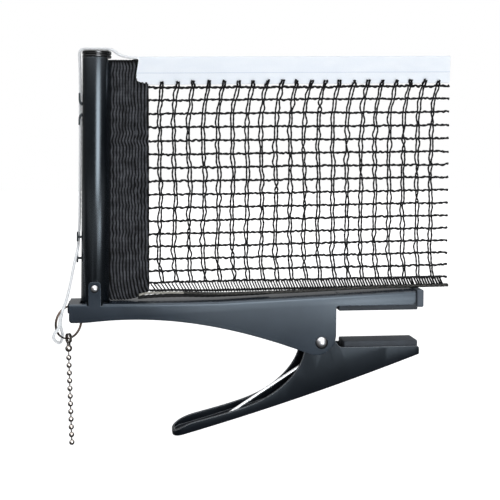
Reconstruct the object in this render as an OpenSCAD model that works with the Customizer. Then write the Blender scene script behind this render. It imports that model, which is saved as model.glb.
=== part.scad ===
// Table tennis net clamp with its net post and the end of the net it holds.
// X runs along the net, into the table. Y runs along the table's edge, away from the front. Z is up.
// The origin is on the upper jaw pad's face, where it lies on the table top.

/* [Clamp bracket] */
// Outside width of the pressed steel bracket
bracket_w = 20; // [18:0.5:24]
// Thickness of the bracket's steel sheet
sheet = 1.5; // [1.2:0.1:1.6]
// From the table's edge out to the bracket's outer end
reach_out = 160; // [158:1:164]
// From the table's edge in to the end of the upper arm
arm_reach = 48; // [46:1:50]
// From the table's edge in to the origin, near the middle of the pad
origin_in = 25; // [20:1:30]

/* [Pivot and lever] */
// From the table's edge out to the pivot rivet
pivot_out = 9.7; // [9.5:0.1:10]
// From the table top down to the pivot rivet
pivot_drop = 18.6; // [18:0.1:19]
// Diameter of the pivot rivet's shank
pin_d = 6; // [5:0.5:6]
// Outside width of the lever
lever_w = 16.4; // [15:0.1:16.6]
// Thickness of the lever's steel sheet
lever_sheet = 1.4; // [1.2:0.1:1.6]
// Thickness of the table top that the jaws are drawn on
table_t = 19; // [18.5:0.1:19.5]

/* [Spring] */
// Diameter of the spring wire
wire_d = 1.9; // [1.6:0.1:2]
// Mean radius of the coil
coil_r = 6.6; // [6.4:0.1:6.8]
// Full turns of the coil, besides the part turn between its legs
coil_turns = 3; // [2:1:3]
// Rise of the coil in one turn
coil_pitch = 2.6; // [2.5:0.05:2.7]

/* [Post] */
// Outside diameter of the post tube
post_d = 17; // [16.6:0.1:17]
// Wall of the post tube
post_wall = 1.2; // [1:0.1:1.4]
// From the table's edge out to the post's centre line, at its rivet
post_out = 144.9; // [143:0.1:146]
// Height of the post's cap above the table top
post_top = 155.5; // [154:0.5:158]
// Lean of the post from upright, its top towards the net, in degrees
post_lean = 0.8; // [0:0.1:1]
// Width of the slot that the net slides into
slot_w = 3; // [2.6:0.1:3.4]

/* [Net] */
// Height of the tape's upper edge above the table, beside the post
net_top = 152.5; // [150:0.5:154]
// Width of the folded tape
tape_w = 16.5; // [15:0.5:17]
// From the table's edge in to where this end of the net stops
net_reach = 71; // [60:1:71]
// Meshes from the sleeve to the net's end
mesh_columns = 20; // [10:1:20]
// Meshes from the tape to the hem
mesh_rows = 15; // [10:1:15]
// Rise of the net from the post towards the middle of the table, in degrees
net_rise = 0.5; // [0:0.1:0.6]

/* [Ring, cord and chain] */
// Mean radius of the split ring
ring_r = 9.7; // [9:0.1:10]
// Diameter of the ring's wire
ring_wire = 1; // [0.8:0.1:1.1]
// Diameter of the net cord
cord_d = 1.8; // [1.5:0.1:2]
// Diameter of a bead of the chain
bead_d = 3.2; // [3:0.1:3.4]
// Distance from bead to bead
bead_pitch = 4.7; // [4.6:0.1:4.9]
// Beads below the chain's coupling
bead_count = 12; // [6:1:12]

/* [Hidden] */
$fn = 48;

inner_w = bracket_w - 2 * sheet;          // clear width between the bracket's flanges
web_top = 7.2;                            // top of the bracket's web over its outer half
web_bend = -72;                           // where the web starts to rise towards the arm
arm_top = 11.9;                           // top of the web at the arm's end
arm_under = 3.3;                          // lower edge of the flanges over the table
stop_x = -0.8;                            // edge of the flanges that meets the table's edge
web_slope = (arm_top - web_top) / (arm_reach - web_bend);
pivot = [-pivot_out, -pivot_drop];
lobe = [-12.9, -14.1];                    // centre of the rounded lobe round the pivot
lobe_r = 12;
pin_gap = 0.05;                           // running clearance of the shank, on its radius
head_d = 7.2;
head_h = 2.6;

post_foot = 0.6;                          // lower end of the post tube, between the flanges
tab_w = 7.4;
tab_top = 20;
tab_rivet_z = 15.9;
tab_rivet_d = 3;
tab_head_d = 4.3;
tab_head_h = 1.5;
cap_h = 4.1;                              // the part of the cap above the tube
tube_top = post_top - cap_h;

lip_w = 9;                                // the tongue at the outer end that the ring hangs from
lip_foot = 0.3;
lip_hole = [4, 5.2];                      // height and diameter of its hole
lip_x = -reach_out - 1.2;                 // outer face of the tongue

sleeve_right = -112.2;
sleeve_top = 150.4;
net_left = sleeve_right;
mesh_top = 134.3;
hem_top = 16.4;
rope_z = 11.9;
rope_d = 1.6;
cell_w = 8.63;
cell_h = 8.21;                            // height of the uppermost meshes
cell_close = 0.023;                       // the meshes close up a little towards the hem
function row(j) = mesh_top - cell_h * j + cell_close * j * j;
cord_line = 1;                            // thickness of the net's cords
net_t = 1.2;

lower_top = -table_t;                     // face of the lower pad
jaw_end = 51;
tip_x = -99.2;

// A point at part t of a cubic curve from a to d, with handles b and c
function bend(a, b, c, d, t) =
    pow(1 - t, 3) * a + 3 * pow(1 - t, 2) * t * b + 3 * (1 - t) * t * t * c + t * t * t * d;
function curve(a, b, c, d, steps) = [for (i = [0 : steps]) bend(a, b, c, d, i / steps)];
function arc(centre, r, from, to, steps) =
    [for (i = [0 : steps]) let (a = from + (to - from) * i / steps) centre + r * [cos(a), sin(a)]];

// A ring of points round a route's point, in the plane square to the route there
function unit(v) = v / norm(v);
function along(p, i) = unit(p[min(i + 1, len(p) - 1)] - p[max(i - 1, 0)]);
function side(d) = unit(cross(d, abs(d.y) < 0.9 ? [0, 1, 0] : [1, 0, 0]));
function ring_at(p, i, r, sides) =
    let (d = along(p, i), u = side(d), v = cross(d, u))
    [for (k = [0 : sides - 1]) p[i] + r * (cos(360 * k / sides) * u + sin(360 * k / sides) * v)];

// One closed tube along a route of points
module tube(p, d, sides) {
    n = len(p);
    rings = [for (i = [0 : n - 1]) each ring_at(p, i, d / 2, sides)];
    walls = [
        for (i = [0 : n - 2], k = [0 : sides - 1])
            let (a = i * sides + k, b = i * sides + (k + 1) % sides)
            each [[a, a + sides, b + sides], [a, b + sides, b]]
    ];
    start = [for (k = [1 : sides - 2]) [0, k, k + 1]];
    last = (n - 1) * sides;
    finish = [for (k = [1 : sides - 2]) [last, last + k + 1, last + k]];
    polyhedron(concat(rings, [p[0], p[n - 1]]), concat(walls, start, finish));
}

// Children drawn from the table's edge stand in the part's frame
module from_edge() {
    translate([-origin_in, 0, 0]) children();
}

// A side view, x along X and y along Z, given a width along Y
module across(width) {
    rotate([90, 0, 0]) linear_extrude(width, center = true) children();
}

// A rod along Y at a point of the side view
module rod_across(at, d, width) {
    translate([at.x, 0, at.y]) rotate([90, 0, 0]) cylinder(d = d, h = width, center = true);
}

// ---- Clamp bracket ----

// Side view of the whole bracket: a long back, the lobe at the pivot, and the arm over the table
module bracket_side() {
    foot_r = 2;
    polygon(concat(
        arc([-reach_out + foot_r, foot_r - 4.1], foot_r, 180, 270, 6),
        curve([-152, -4.1], [-145, -3.9], [-139, -2.7], [-124, -2.7], 6),
        curve([-124, -2.7], [-92.5, -2.7], [-58.5, -9.2], [-17.3, -25.2], 16),
        arc(lobe, lobe_r, -110, 0, 14),
        arc([stop_x + 1.5, arm_under - 1.5], 1.5, 180, 90, 4),
        arc([arm_reach - 3, arm_under + 3], 3, -90, 0, 5),
        arc([arm_reach - 1.4, arm_top - 1.4], 1.4, 0, 90, 4),
        [[web_bend, web_top], [-reach_out, web_top]]
    ));
}

// The hollow between the flanges, under the web
module bracket_hollow() {
    beyond = 60;
    polygon([
        [-reach_out - 10, -50], [beyond, -50],
        [beyond, web_top - sheet + web_slope * (beyond - web_bend)],
        [web_bend, web_top - sheet], [-reach_out - 10, web_top - sheet]
    ]);
}

// Two tabs raised from the web, one on each side of the post
module post_tab(y) {
    corner = 2.2;
    translate([-post_out, y, 0]) rotate([90, 0, 0]) linear_extrude(sheet, center = true)
        polygon(concat(
            [[-tab_w / 2, web_top - 3], [tab_w / 2, web_top - 3]],
            arc([tab_w / 2 - corner, tab_top - corner], corner, 0, 90, 5),
            arc([-tab_w / 2 + corner, tab_top - corner], corner, 90, 180, 5)
        ));
}

// The tongue folded down at the outer end, with the hole for the ring
module end_tongue() {
    difference() {
        union() {
            translate([lip_x, -lip_w / 2, lip_foot]) cube([sheet, lip_w, web_top - lip_foot]);
            translate([lip_x, -lip_w / 2, web_top - sheet]) cube([4, lip_w, sheet]);
        }
        translate([lip_x, 0, lip_hole[0]]) rotate([0, 90, 0])
            cylinder(d = lip_hole[1], h = 6, center = true);
    }
}

module bracket_channel() {
    tab_y = bracket_w / 2 - sheet / 2;
    relief = 0.8;
    color("#333a44") from_edge() difference() {
        union() {
            difference() {
                across(bracket_w) bracket_side();
                across(inner_w) bracket_hollow();
                // Opening in the web for the post, with a relief cut beside each tab
                translate([-post_out - post_d / 2 - 0.3, -inner_w / 2, 0])
                    cube([post_d + 0.6, inner_w, 20]);
                for (s = [-1, 1], t = [-1, 1])
                    translate([-post_out + t * (tab_w + relief) / 2, s * tab_y, web_top])
                        cube([relief, sheet + 0.2, 3], center = true);
            }
            for (s = [-1, 1]) post_tab(s * tab_y);
            end_tongue();
        }
        rod_across(pivot, pin_d + 2 * pin_gap, 30);
        rod_across([-post_out, tab_rivet_z], tab_rivet_d + 0.1, 30);
    }
}

// ---- Upper jaw pad: a liner in the arm, with a block over the arm's end ----

module upper_jaw_pad() {
    start = 1.2;
    end = arm_reach + 1.8;
    pad_w = inner_w - 0.2;
    under_web = 0.1;
    at_web = function (x) web_top - sheet - under_web + web_slope * (x - web_bend);
    color("#6d7884") from_edge() {
        across(pad_w) polygon([
            [start, 0.6], [start + 0.6, 0], [end - 0.6, 0], [end, 0.6],
            [end, at_web(arm_reach)], [start, at_web(start)]
        ]);
        across(bracket_w) polygon(concat(
            [[arm_reach + 0.8, 1.8]], arc([arm_reach + 4, 2.8], 1, -90, 0, 3),
            arc([arm_reach + 4, arm_top - 0.5], 1, 0, 90, 3), [[arm_reach + 0.8, arm_top + 0.5]]
        ));
    }
}

// ---- Pivot rivet: a shank through both flanges, with a domed head on each side ----

// Half of a domed head's outline, turned about the shank's line
module dome(d, h) {
    rotate_extrude() intersection() {
        translate([0, h - (d * d / 4 + h * h) / (2 * h)]) circle(r = (d * d / 4 + h * h) / (2 * h));
        square([d, h]);
    }
}

module pivot_rivet() {
    color("#c9ccd0") from_edge() translate([pivot.x, 0, pivot.y]) {
        rotate([90, 0, 0]) cylinder(d = pin_d, h = bracket_w + 0.1, center = true);
        for (s = [-1, 1])
            translate([0, s * bracket_w / 2, 0]) rotate([-90 * s, 0, 0]) dome(head_d, head_h);
    }
}

// ---- Post ----

// The post and all that it carries lean together about the rivet
module leaned() {
    from_edge() translate([-post_out, 0, tab_rivet_z]) rotate([0, post_lean, 0])
        translate([post_out, 0, -tab_rivet_z]) children();
}

// The shoulder cut from the tube's mouth, where the sleeve is fed into the slot
module mouth() {
    across(30) polygon([
        [-post_out + 5.6, tube_top], [-post_out + 10, tube_top], [-post_out + 10, tube_top - 4.6]
    ]);
}

module post_tube() {
    color("#1b1c1f") leaned() difference() {
        translate([-post_out, 0, post_foot]) cylinder(d = post_d - 0.1, h = tube_top - post_foot);
        translate([-post_out, 0, post_foot - 1])
            cylinder(d = post_d - 2 * post_wall, h = tube_top + 2);
        // The slot for the net starts a little above the bracket and is open at the top
        translate([-post_out, -slot_w / 2, 9]) cube([post_d, slot_w, post_top]);
        translate([0, 0, 0.01]) mouth();
        rod_across([-post_out, tab_rivet_z], tab_rivet_d + 0.1, 30);
    }
}

module post_cap() {
    cap_r = 8.6;
    plug_r = post_d / 2 - post_wall - 0.1;
    plug_h = 9;
    color("#17181a") leaned() difference() {
        translate([-post_out, 0, 0]) rotate_extrude() polygon([
            [0, tube_top - plug_h], [plug_r - 0.6, tube_top - plug_h],
            [plug_r, tube_top - plug_h + 0.6], [plug_r, tube_top],
            [cap_r - 0.5, tube_top], [cap_r - 0.5, tube_top + 0.5], [cap_r, tube_top + 0.7],
            [cap_r, tube_top + 1.7], [cap_r - 0.5, tube_top + 1.9],
            [cap_r - 0.5, tube_top + 2.2], [cap_r, tube_top + 2.4],
            [cap_r, post_top - 0.6], [cap_r - 0.6, post_top], [0, post_top]
        ]);
        // Room for the net's rod and sleeve in the plug
        translate([-post_out, -slot_w / 2, tube_top - plug_h - 1])
            cube([post_d, slot_w, plug_h + 1]);
        translate([rod_x, 0, tube_top - plug_h - 1]) cylinder(d = 6, h = plug_h - 1);
        mouth();
    }
}

module post_rivet() {
    color("#d5d7da") from_edge() translate([-post_out, 0, tab_rivet_z]) {
        rotate([90, 0, 0]) cylinder(d = tab_rivet_d, h = bracket_w + 0.1, center = true);
        for (s = [-1, 1])
            translate([0, s * bracket_w / 2, 0])
                rotate([-90 * s, 0, 0]) dome(tab_head_d, tab_head_h);
    }
}

// ---- Cleats for the cord, on the outer side of the post ----

post_left = -post_out - post_d / 2;

cleat_plate = 2.4;

// A plate standing on the tube's outer side, drawn from that side outwards
module on_post() {
    color("#1b1c1f") leaned() difference() {
        translate([post_left, 0, 0]) across(cleat_plate) children();
        translate([-post_out, 0, 0]) cylinder(d = post_d, h = post_top);
    }
}

module cord_cleat_upper() {
    on_post() {
        polygon(concat(
            [[0.2, 125.4], [0.2, 123.4]], curve([-0.2, 123.4], [-1.2, 124], [-2, 125], [-2, 127], 4),
            [[-2, 130.8], [-1.1, 130.8]], curve([-1.1, 127.6], [-1.1, 126.4], [-0.6, 125.4],
            [-0.1, 125.4], 4)
        ));
        polygon(concat(
            [[0.2, 116.9], [0.2, 118.9]], curve([-0.2, 118.9], [-1.2, 118.3], [-2, 117.3], [-2, 115.3], 4),
            [[-2, 111.9], [-1.1, 111.9]], curve([-1.1, 114.7], [-1.1, 115.9], [-0.6, 116.9],
            [-0.1, 116.9], 4)
        ));
    }
}

module cord_cleat_lower() {
    on_post() {
        for (z = [45.4, 32.8]) {
            translate([-2, z - 0.6]) square([2.2, 1.2]);
            translate([-2.7, z - 2.6]) square([1, 5.6]);
        }
    }
}

// ---- Net ----

rod_x = -post_out + 4.3;
rod_d = 3;

module net_rod() {
    color("#8a8d90") leaned() translate([rod_x, 0, 11]) cylinder(d = rod_d, h = 134);
}

// Where the tape's end lies in the sleeve's upper corner, with a gap between them
function notch(gap) = concat(
    [[sleeve_right, 137.2 + gap]],
    [for (p = curve([-115.5, 137.2], [-119, 137.2], [-120.4, 138.5], [-120.4, 142.4], 5)) p + [gap, gap]],
    [[-118.9 + gap, sleeve_top]]
);

// Ribbed knitted sleeve: its outline from the side, and its ribs from above
module net_sleeve() {
    ribs = 11;
    steps = 5;
    rib = 0.45;
    half = 0.9;
    loop_d = 5;
    left = -post_out + post_d / 2 + 0.3;
    foot = web_top + 0.3;
    lean = (sleeve_top - tab_rivet_z) * tan(post_lean);
    step = (sleeve_right - left) / (ribs * steps);
    face = [for (i = [0 : ribs * steps]) [left + i * step, half + rib * sin(360 * i / steps)]];
    back = [for (i = [ribs * steps : -1 : 0]) [left + i * step, -half + rib * sin(360 * i / steps)]];
    color("#202124") from_edge() {
        intersection() {
            linear_extrude(160) polygon(concat(face, back));
            across(10) polygon(concat(
                [[left, foot]],
                curve([-129, foot], [-122, foot], [-118, 9.2], [sleeve_right, 13], 6),
                notch(0),
                [[left + lean, sleeve_top]]
            ));
        }
    }
    // The flat part in the slot, and the loop round the rod
    color("#202124") leaned() {
        translate([rod_x + 2, -0.8, 11]) cube([left - rod_x - 1.9, 1.6, 132]);
        translate([rod_x, 0, 12]) difference() {
            cylinder(d = loop_d, h = 131);
            translate([0, 0, -1]) cylinder(d = rod_d + 0.1, h = 133);
        }
    }
}

// The net turns up a little towards the middle of the table, from the foot of the sleeve
module along_net(from) {
    from_edge() intersection() {
        translate([net_left, 0, 0]) rotate([0, -net_rise, 0]) children();
        translate([from, -5, 0]) cube([net_reach - from, 10, 2 * net_top]);
    }
}

net_len = net_reach - net_left;
net_start = sleeve_right + 0.05;

module net_tape() {
    half = 1.3;
    start = -10;
    top = net_top;
    color("#f1f2f4") intersection() {
        along_net(-125) rotate([90, 0, 90]) translate([0, 0, start])
            linear_extrude(net_len - start + 2) polygon(concat(
                [[-0.7, top - tape_w], [0.7, top - tape_w], [half, top - tape_w + 2]],
                arc([0, top - half], half, 0, 180, 8),
                [[-half, top - tape_w + 2]]
            ));
        from_edge() across(5) polygon(concat(
            [[net_reach + 1, top - 20], [sleeve_right, top - 20]], notch(0.1),
            [[-118.8, top + 5], [net_reach + 1, top + 5]]
        ));
    }
}

// Where each upright cord of the net stands; past the last one the level cords run out free
first_cell = 0.73;
function column(i) =
    i == 0 ? 0 : i > mesh_columns ? net_len + cord_line + 3 : (i - 1 + first_cell) * cell_w;

// A flat grid with one gap for each mesh, open at the end where this stretch of net stops
module net_mesh() {
    color("#191a1c") along_net(net_start) across(net_t) difference() {
        translate([0, hem_top]) square([net_len + 2, mesh_top - hem_top + 1.2]);
        for (i = [0 : mesh_columns], j = [1 : mesh_rows])
            translate([column(i) + cord_line, row(j) + cord_line])
                square([column(i + 1) - column(i) - cord_line, row(j - 1) - row(j) - cord_line]);
    }
}

module net_hem() {
    color("#151618") {
        along_net(net_start) rotate([90, 0, 90]) linear_extrude(net_len + 2) {
            translate([-0.5, rope_z]) square([1, hem_top - rope_z]);
            translate([0, rope_z]) circle(d = rope_d);
        }
        // The cord that comes up to the rope from under the sleeve
        from_edge() tube([
            [-116.6, 0, 8.7], [-113, 0, 8.8], [-106, 0, 8.9], [-97, 0, 9.2], [-88, 0, 9.6],
            [-80, 0, 10.2], [-73, 0, 11]
        ], 1.8, 8);
    }
}

// Pale cord before the rope, from the sleeve to the net's end
module net_bottom_cord() {
    y = -2.35;
    color("#c9c6bb") from_edge() tube([
        [-118.8, y, 10.3], [-116.5, y, 11], [-112.5, y, 11.5], [-105, y, 11.5], [-96, y, 11.5],
        [-88, y, 11.1], [-79, y, 10.6], [-66, y, 10.5], [-50, y, 10.7], [-34, y, 11], [-18, y, 11.5],
        [0, y, 12.3], [18, y, 13], [36, y, 13.4], [54, y, 13.6], [net_reach, y, 13.8]
    ], cord_d, 8);
}

// ---- Cord ----

// Out of the tape, over the cap, down the outer side of the post and round its cleats
cord_route = [
    [-118.95, 0, 151.5], [-122.5, 0, 151.9], [-126, 0, 152.4], [-129.2, 0, 153.3], [-131.5, 0, 154.7],
    [-133.3, 0, 156], [-135.5, 0, 156.7], [-139, 0, 156.8], [-143, 0, 156.75],
    [-147, 0, 156.8], [-150.3, 0.4, 156.8], [-152.4, 0.8, 156.1], [-153.2, 1.4, 154.2],
    [-153.2, 2, 151.4], [-153.1, 2.4, 147], [-153, 2.7, 134], [-153.1, 2.7, 121],
    [-153.2, 2.7, 106], [-153.5, 2.7, 88], [-153.8, 2.7, 70], [-154.1, 2.7, 56],
    [-154.5, 2.7, 49], [-154.8, 2.6, 43.6], [-154.9, 1.9, 41.2], [-155, 0.2, 39.5],
    [-155.2, -1.6, 38.1], [-155.6, -2.4, 36.4], [-156, -2.7, 34.6]
];
// From the lower cleat down to the ring
tail_route = [
    [-156.05, -2.72, 34.45], [-156.9, -2.9, 30.7], [-157.8, -3.1, 26.4], [-159, -3.6, 20.4],
    [-160.3, -4.6, 14.2], [-161.8, -5.8, 8.6], [-163.5, -6.8, 3.9], [-164.4, -7, 0.6]
];
// In front of the ring, through it, and up round its wire to the knot
loop_route = [
    [-164.5, -7, 0.1], [-165, -6.6, -2.8], [-165.2, -5.4, -6], [-165, -3.4, -9],
    [-164.7, -1.2, -11.6], [-164.8, 0.3, -14.1], [-165.2, 0, -16.4], [-166.1, -2.3, -17.5],
    [-167.2, -5, -16.4], [-168.6, -8, -14.3], [-169, -9.8, -11.7], [-168.2, -10.2, -9.7],
    [-166.9, -9.8, -8.3], [-165.9, -9.2, -6.4], [-165.4, -8.9, -4.2], [-165.1, -9.1, -1.4],
    [-164.4, -9.4, 1.2]
];

module tension_cord() {
    color("#f4f4f2") from_edge() tube(cord_route, cord_d, 8);
}

module cord_tail() {
    color("#f4f4f2") from_edge() tube(tail_route, cord_d, 8);
}

module cord_loop() {
    color("#f4f4f2") from_edge() tube(loop_route, cord_d, 8);
}

// ---- Torsion spring: a coil round the pivot rivet, one leg on the web and one in the lever ----

lower_end = [-65.4, -61.4];
upper_end = [-52, 5.2];

// Where a line from a far point touches the coil, as an angle round the pivot; s is -1 below, 1 above
function touch(end, s) =
    let (v = end - pivot) atan2(v.y, v.x) - s * acos(coil_r / norm(v));
lower_touch = touch(lower_end, -1) - 360;
upper_touch = touch(upper_end, 1);
coil_angle = upper_touch - lower_touch + 360 * (coil_turns - 1) + (upper_touch > lower_touch ? 0 : 360);
coil_w = coil_pitch * coil_angle / 360;
function on_coil(a, y) = [pivot.x + coil_r * cos(a), y, pivot.y + coil_r * sin(a)];
curl_rings = 8;
coil_steps = ceil(coil_angle / 360 * curl_rings);
spring_route = concat(
    [[lower_end.x, -coil_w / 2, lower_end.y]],
    [for (i = [0 : coil_steps])
        on_coil(lower_touch + coil_angle * i / coil_steps, coil_w * i / coil_steps - coil_w / 2)],
    [[upper_end.x, coil_w / 2, upper_end.y]]
);
// Least distance between points a turn apart, less the wire
coil_gap = min([for (i = [1 : coil_steps - curl_rings + 1], k = [-1 : 1])
    let (j = i + curl_rings + k) j <= coil_steps + 1 ? norm(spring_route[i] - spring_route[j]) : 99])
    - wire_d;
echo(coil_gap = coil_gap);

module torsion_spring() {
    color("#dfe2e6") from_edge() tube(spring_route, wire_d, 6);
}

// ---- Lever: a pressed channel, open on its upper side, with the handle and the lower jaw ----

lever_low = -45.4;                        // height of its lower edge at the table's edge
lever_slope = 0.333;                      // slope of that edge there
lever_bow = 0.00034;                      // and its slight bow
function low_edge(x) = lever_low + lever_slope * x + lever_bow * x * x;
low_steps = 8;
function low_line(from, to, lift) =
    [for (i = [0 : low_steps]) let (x = from + (to - from) * i / low_steps) [x, low_edge(x) + lift]];
ear_r = 8.4;
wall_top = lower_top - 3.2;               // upper edge of the walls in the jaw

module lever_side() {
    polygon(concat(
        low_line(-95.5, jaw_end - 4, 0),
        arc([jaw_end - 4, wall_top - 4], 4, -60, 0, 4),
        arc([jaw_end - 1.6, wall_top - 1.6], 1.6, 0, 90, 3),
        arc([4, wall_top + 4], 4, 270, 205, 4),
        arc(pivot, ear_r, 5, 180, 16),
        curve([-19.6, -24], [-21, -34.6], [-31.6, -46.7], [-48, -54], 12),
        curve([-48, -54], [-58, -58.2], [-74, -62], [-86, -65.4], 5),
        curve([-86, -65.4], [-91, -66.9], [-95.6, -69.6], [-98.4, -71.5], 4),
        arc([-97.4, -72.8], 1.8, 130, 250, 5)
    ));
}

// The space inside: the same side view drawn in by the sheet along its lower edge
module lever_space() {
    rise = lever_sheet * 1.045;
    polygon(concat(
        [[tip_x - 10, 20], [tip_x - 10, low_edge(tip_x) + rise + 4]],
        low_line(tip_x + 5, jaw_end + 5, rise),
        [[jaw_end + 5, 20]]
    ));
}

// Plan of the lever, rounded at the handle's tip
module lever_plan(inset) {
    corner = 6 - inset;
    half = lever_w / 2 - inset;
    left = tip_x + inset;
    polygon(concat(
        [[jaw_end + 2, -half], [jaw_end + 2, half]],
        arc([left + corner, half - corner], corner, 90, 180, 6),
        arc([left + corner, -half + corner], corner, 180, 270, 6)
    ));
}

module lever_channel() {
    color("#262b33") from_edge() difference() {
        intersection() {
            across(lever_w) lever_side();
            translate([0, 0, -90]) linear_extrude(100) lever_plan(0);
        }
        intersection() {
            across(lever_w + 2) lever_space();
            translate([0, 0, -90]) linear_extrude(120) lever_plan(lever_sheet);
        }
        rod_across(pivot, pin_d + 2 * pin_gap, 30);
    }
}

module lower_jaw_pad() {
    half_w = lever_w - 2 * lever_sheet - 0.2;
    bottom = lower_top - 8;
    start = 5;
    end = jaw_end - 0.5;
    color("#6d7884") from_edge() across(half_w) polygon([
        [start, bottom], [end - 4, bottom], [end, low_edge(end) + lever_sheet + 0.2],
        [end, lower_top], [start + 0.6, lower_top], [start, lower_top - 0.6]
    ]);
}

// ---- Split ring, hung in the tongue's hole ----

ring_turn = 42;                           // the ring's plane is turned this much off the XZ plane
ring_out = 0.15;                          // the cord draws the ring this far past the hole
ring_centre = [
    lip_x + sheet / 2 - ring_out, -ring_out * tan(ring_turn),
    lip_hole[0] - sqrt(ring_r * ring_r - pow(ring_out / cos(ring_turn), 2))
];
ring_turns = 2;
ring_pitch = 1.45;
ring_start = 50;                          // angle at which its wire begins
loop_rings = 24;
ring_route = [for (i = [0 : loop_rings * ring_turns])
    let (a = ring_start + 360 * i / loop_rings)
    [ring_r * cos(a), ring_pitch * (a - 270) / 360, ring_r * sin(a)]];
echo(ring_gap = ring_pitch - ring_wire);

module split_ring() {
    color("#2a2523") from_edge() translate(ring_centre) rotate([0, 0, ring_turn])
        tube(ring_route, ring_wire, 6);
}

// ---- Ball chain ----

// The chain hangs between the ring's two turns, from their lowest point
chain_x = ring_centre.x - ring_pitch / 2 * sin(ring_turn);
chain_y = ring_centre.y + ring_pitch / 2 * cos(ring_turn);
ring_low = ring_centre.z - ring_r;
cup_z = -21.6;                            // centre of the coupling's cup, round the first bead
cup_d = 4.2;
chain_lean = 1.5;                         // the chain's stiff little links leave it not quite plumb

// A strip folded over the ring, closed on a cup that grips the chain's first bead
module chain_coupling() {
    strip_w = 2;
    strip = 0.5;
    eye = 1.6;
    rise = 0.9;
    color("#3a2f29") from_edge() translate([chain_x, chain_y, 0]) rotate([0, 0, ring_turn]) {
        translate([0, 0, ring_low]) rotate([90, 0, 90]) linear_extrude(strip_w, center = true)
            difference() {
                oblong(eye + strip, rise);
                oblong(eye, rise);
            }
        translate([-strip_w / 2, -0.7, cup_z]) cube([strip_w, 1.4, ring_low - rise - eye - 0.1 - cup_z]);
        translate([0, 0, cup_z]) sphere(d = cup_d, $fn = 24);
    }
}

module oblong(r, rise) {
    for (s = [-1, 1]) translate([0, s * rise]) circle(r);
    square([2 * r, 2 * rise], center = true);
}

module bead_chain() {
    link_d = 0.8;
    top = cup_z - 5.6;
    color("#4a3b33") from_edge() translate([chain_x, chain_y, top]) rotate([0, -chain_lean, 0]) {
        for (i = [0 : bead_count - 1])
            translate([0, 0, -i * bead_pitch]) sphere(d = bead_d, $fn = 20);
        translate([0, 0, -(bead_count - 1) * bead_pitch])
            cylinder(d = link_d, h = (bead_count - 1) * bead_pitch + 3.2, $fn = 16);
    }
}

bracket_channel();
upper_jaw_pad();
pivot_rivet();
post_tube();
post_cap();
post_rivet();
cord_cleat_upper();
cord_cleat_lower();
net_rod();
net_sleeve();
net_tape();
net_mesh();
net_hem();
net_bottom_cord();
tension_cord();
cord_tail();
torsion_spring();
lever_channel();
lower_jaw_pad();
split_ring();
cord_loop();
chain_coupling();
bead_chain();
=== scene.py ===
import bmesh
import bpy
import math
from mathutils import Matrix, Vector, noise


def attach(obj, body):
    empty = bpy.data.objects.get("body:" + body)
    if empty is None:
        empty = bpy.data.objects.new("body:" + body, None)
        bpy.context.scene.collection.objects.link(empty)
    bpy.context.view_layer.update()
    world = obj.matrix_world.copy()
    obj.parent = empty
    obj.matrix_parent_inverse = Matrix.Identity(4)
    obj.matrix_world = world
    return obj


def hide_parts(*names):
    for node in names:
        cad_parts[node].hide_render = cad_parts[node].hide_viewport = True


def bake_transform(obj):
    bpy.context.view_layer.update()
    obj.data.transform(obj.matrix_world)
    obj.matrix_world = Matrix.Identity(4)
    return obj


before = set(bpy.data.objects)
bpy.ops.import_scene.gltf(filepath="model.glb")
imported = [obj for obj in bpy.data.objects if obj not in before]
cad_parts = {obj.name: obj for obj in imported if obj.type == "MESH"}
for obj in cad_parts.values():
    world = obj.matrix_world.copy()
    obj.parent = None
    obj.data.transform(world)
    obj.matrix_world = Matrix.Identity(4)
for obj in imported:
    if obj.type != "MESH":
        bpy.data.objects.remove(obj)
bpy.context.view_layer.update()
bpy.ops.object.select_all(action="DESELECT")


# ---- Camera ----
# A lens at the height of the post's middle looks along the table's edge at the net,
# turned a little towards the table. Its frame is the square picture of the clamp.

eye = (-0.14819, -0.46611, 0.09995)
view_turn, view_dip, view_roll = math.radians(4.1), math.radians(2.7), math.radians(-0.12)
ahead = Vector((math.sin(view_turn) * math.cos(view_dip), math.cos(view_turn) * math.cos(view_dip),
                -math.sin(view_dip)))
level = Vector((math.cos(view_turn), -math.sin(view_turn), 0))
raised = level.cross(ahead)
right = math.cos(view_roll) * level + math.sin(view_roll) * raised
up = math.cos(view_roll) * raised - math.sin(view_roll) * level

lens = bpy.data.cameras.new("camera")
lens.lens, lens.sensor_width, lens.clip_start = 56.16, 36, 0.05
lens.shift_x, lens.shift_y = 0.126, -0.136
camera = bpy.data.objects.new("camera", lens)
camera.matrix_world = Matrix.Translation(eye) @ Matrix((right, up, -ahead)).transposed().to_4x4()
bpy.context.collection.objects.link(camera)
bpy.context.scene.camera = camera
bpy.context.scene.view_settings.view_transform = "Standard"


# ---- White studio ----
# A pale floor just below the lever's lowest reach and a white sweep all round. A tall soft lamp
# stands in front on the right with a panel that only gloss shows, two small ones stand low
# before the flange and the arm, a weak one fills from the left and one hangs overhead.

def feed(tree, node, inputs):
    """Puts a value, or another node's result, on each input named."""
    for key, value in inputs.items():
        if isinstance(value, bpy.types.Node):
            value = value.outputs[2 if getattr(value, "data_type", "") == "RGBA" else 0]
        if isinstance(value, bpy.types.NodeSocket):
            tree.links.new(value, node.inputs[key])
        else:
            node.inputs[key].default_value = value


def put(tree, kind, inputs={}, **settings):
    """Adds a shader node."""
    made = tree.nodes.new("ShaderNode" + kind)
    for name, value in settings.items():
        setattr(made, name, value)
    feed(tree, made, inputs)
    return made


def maths(tree, operation, *values):
    return put(tree, "Math", dict(enumerate(values)), operation=operation)


def ramp(tree, value, low, high, first, last):
    """Carries a value from between low and high over to between first and last."""
    return put(tree, "MapRange", dict(enumerate((value, low, high, first, last))))


def where(tree):
    """The place on the object itself, in metres."""
    return put(tree, "TexCoord").outputs["Object"]


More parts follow.
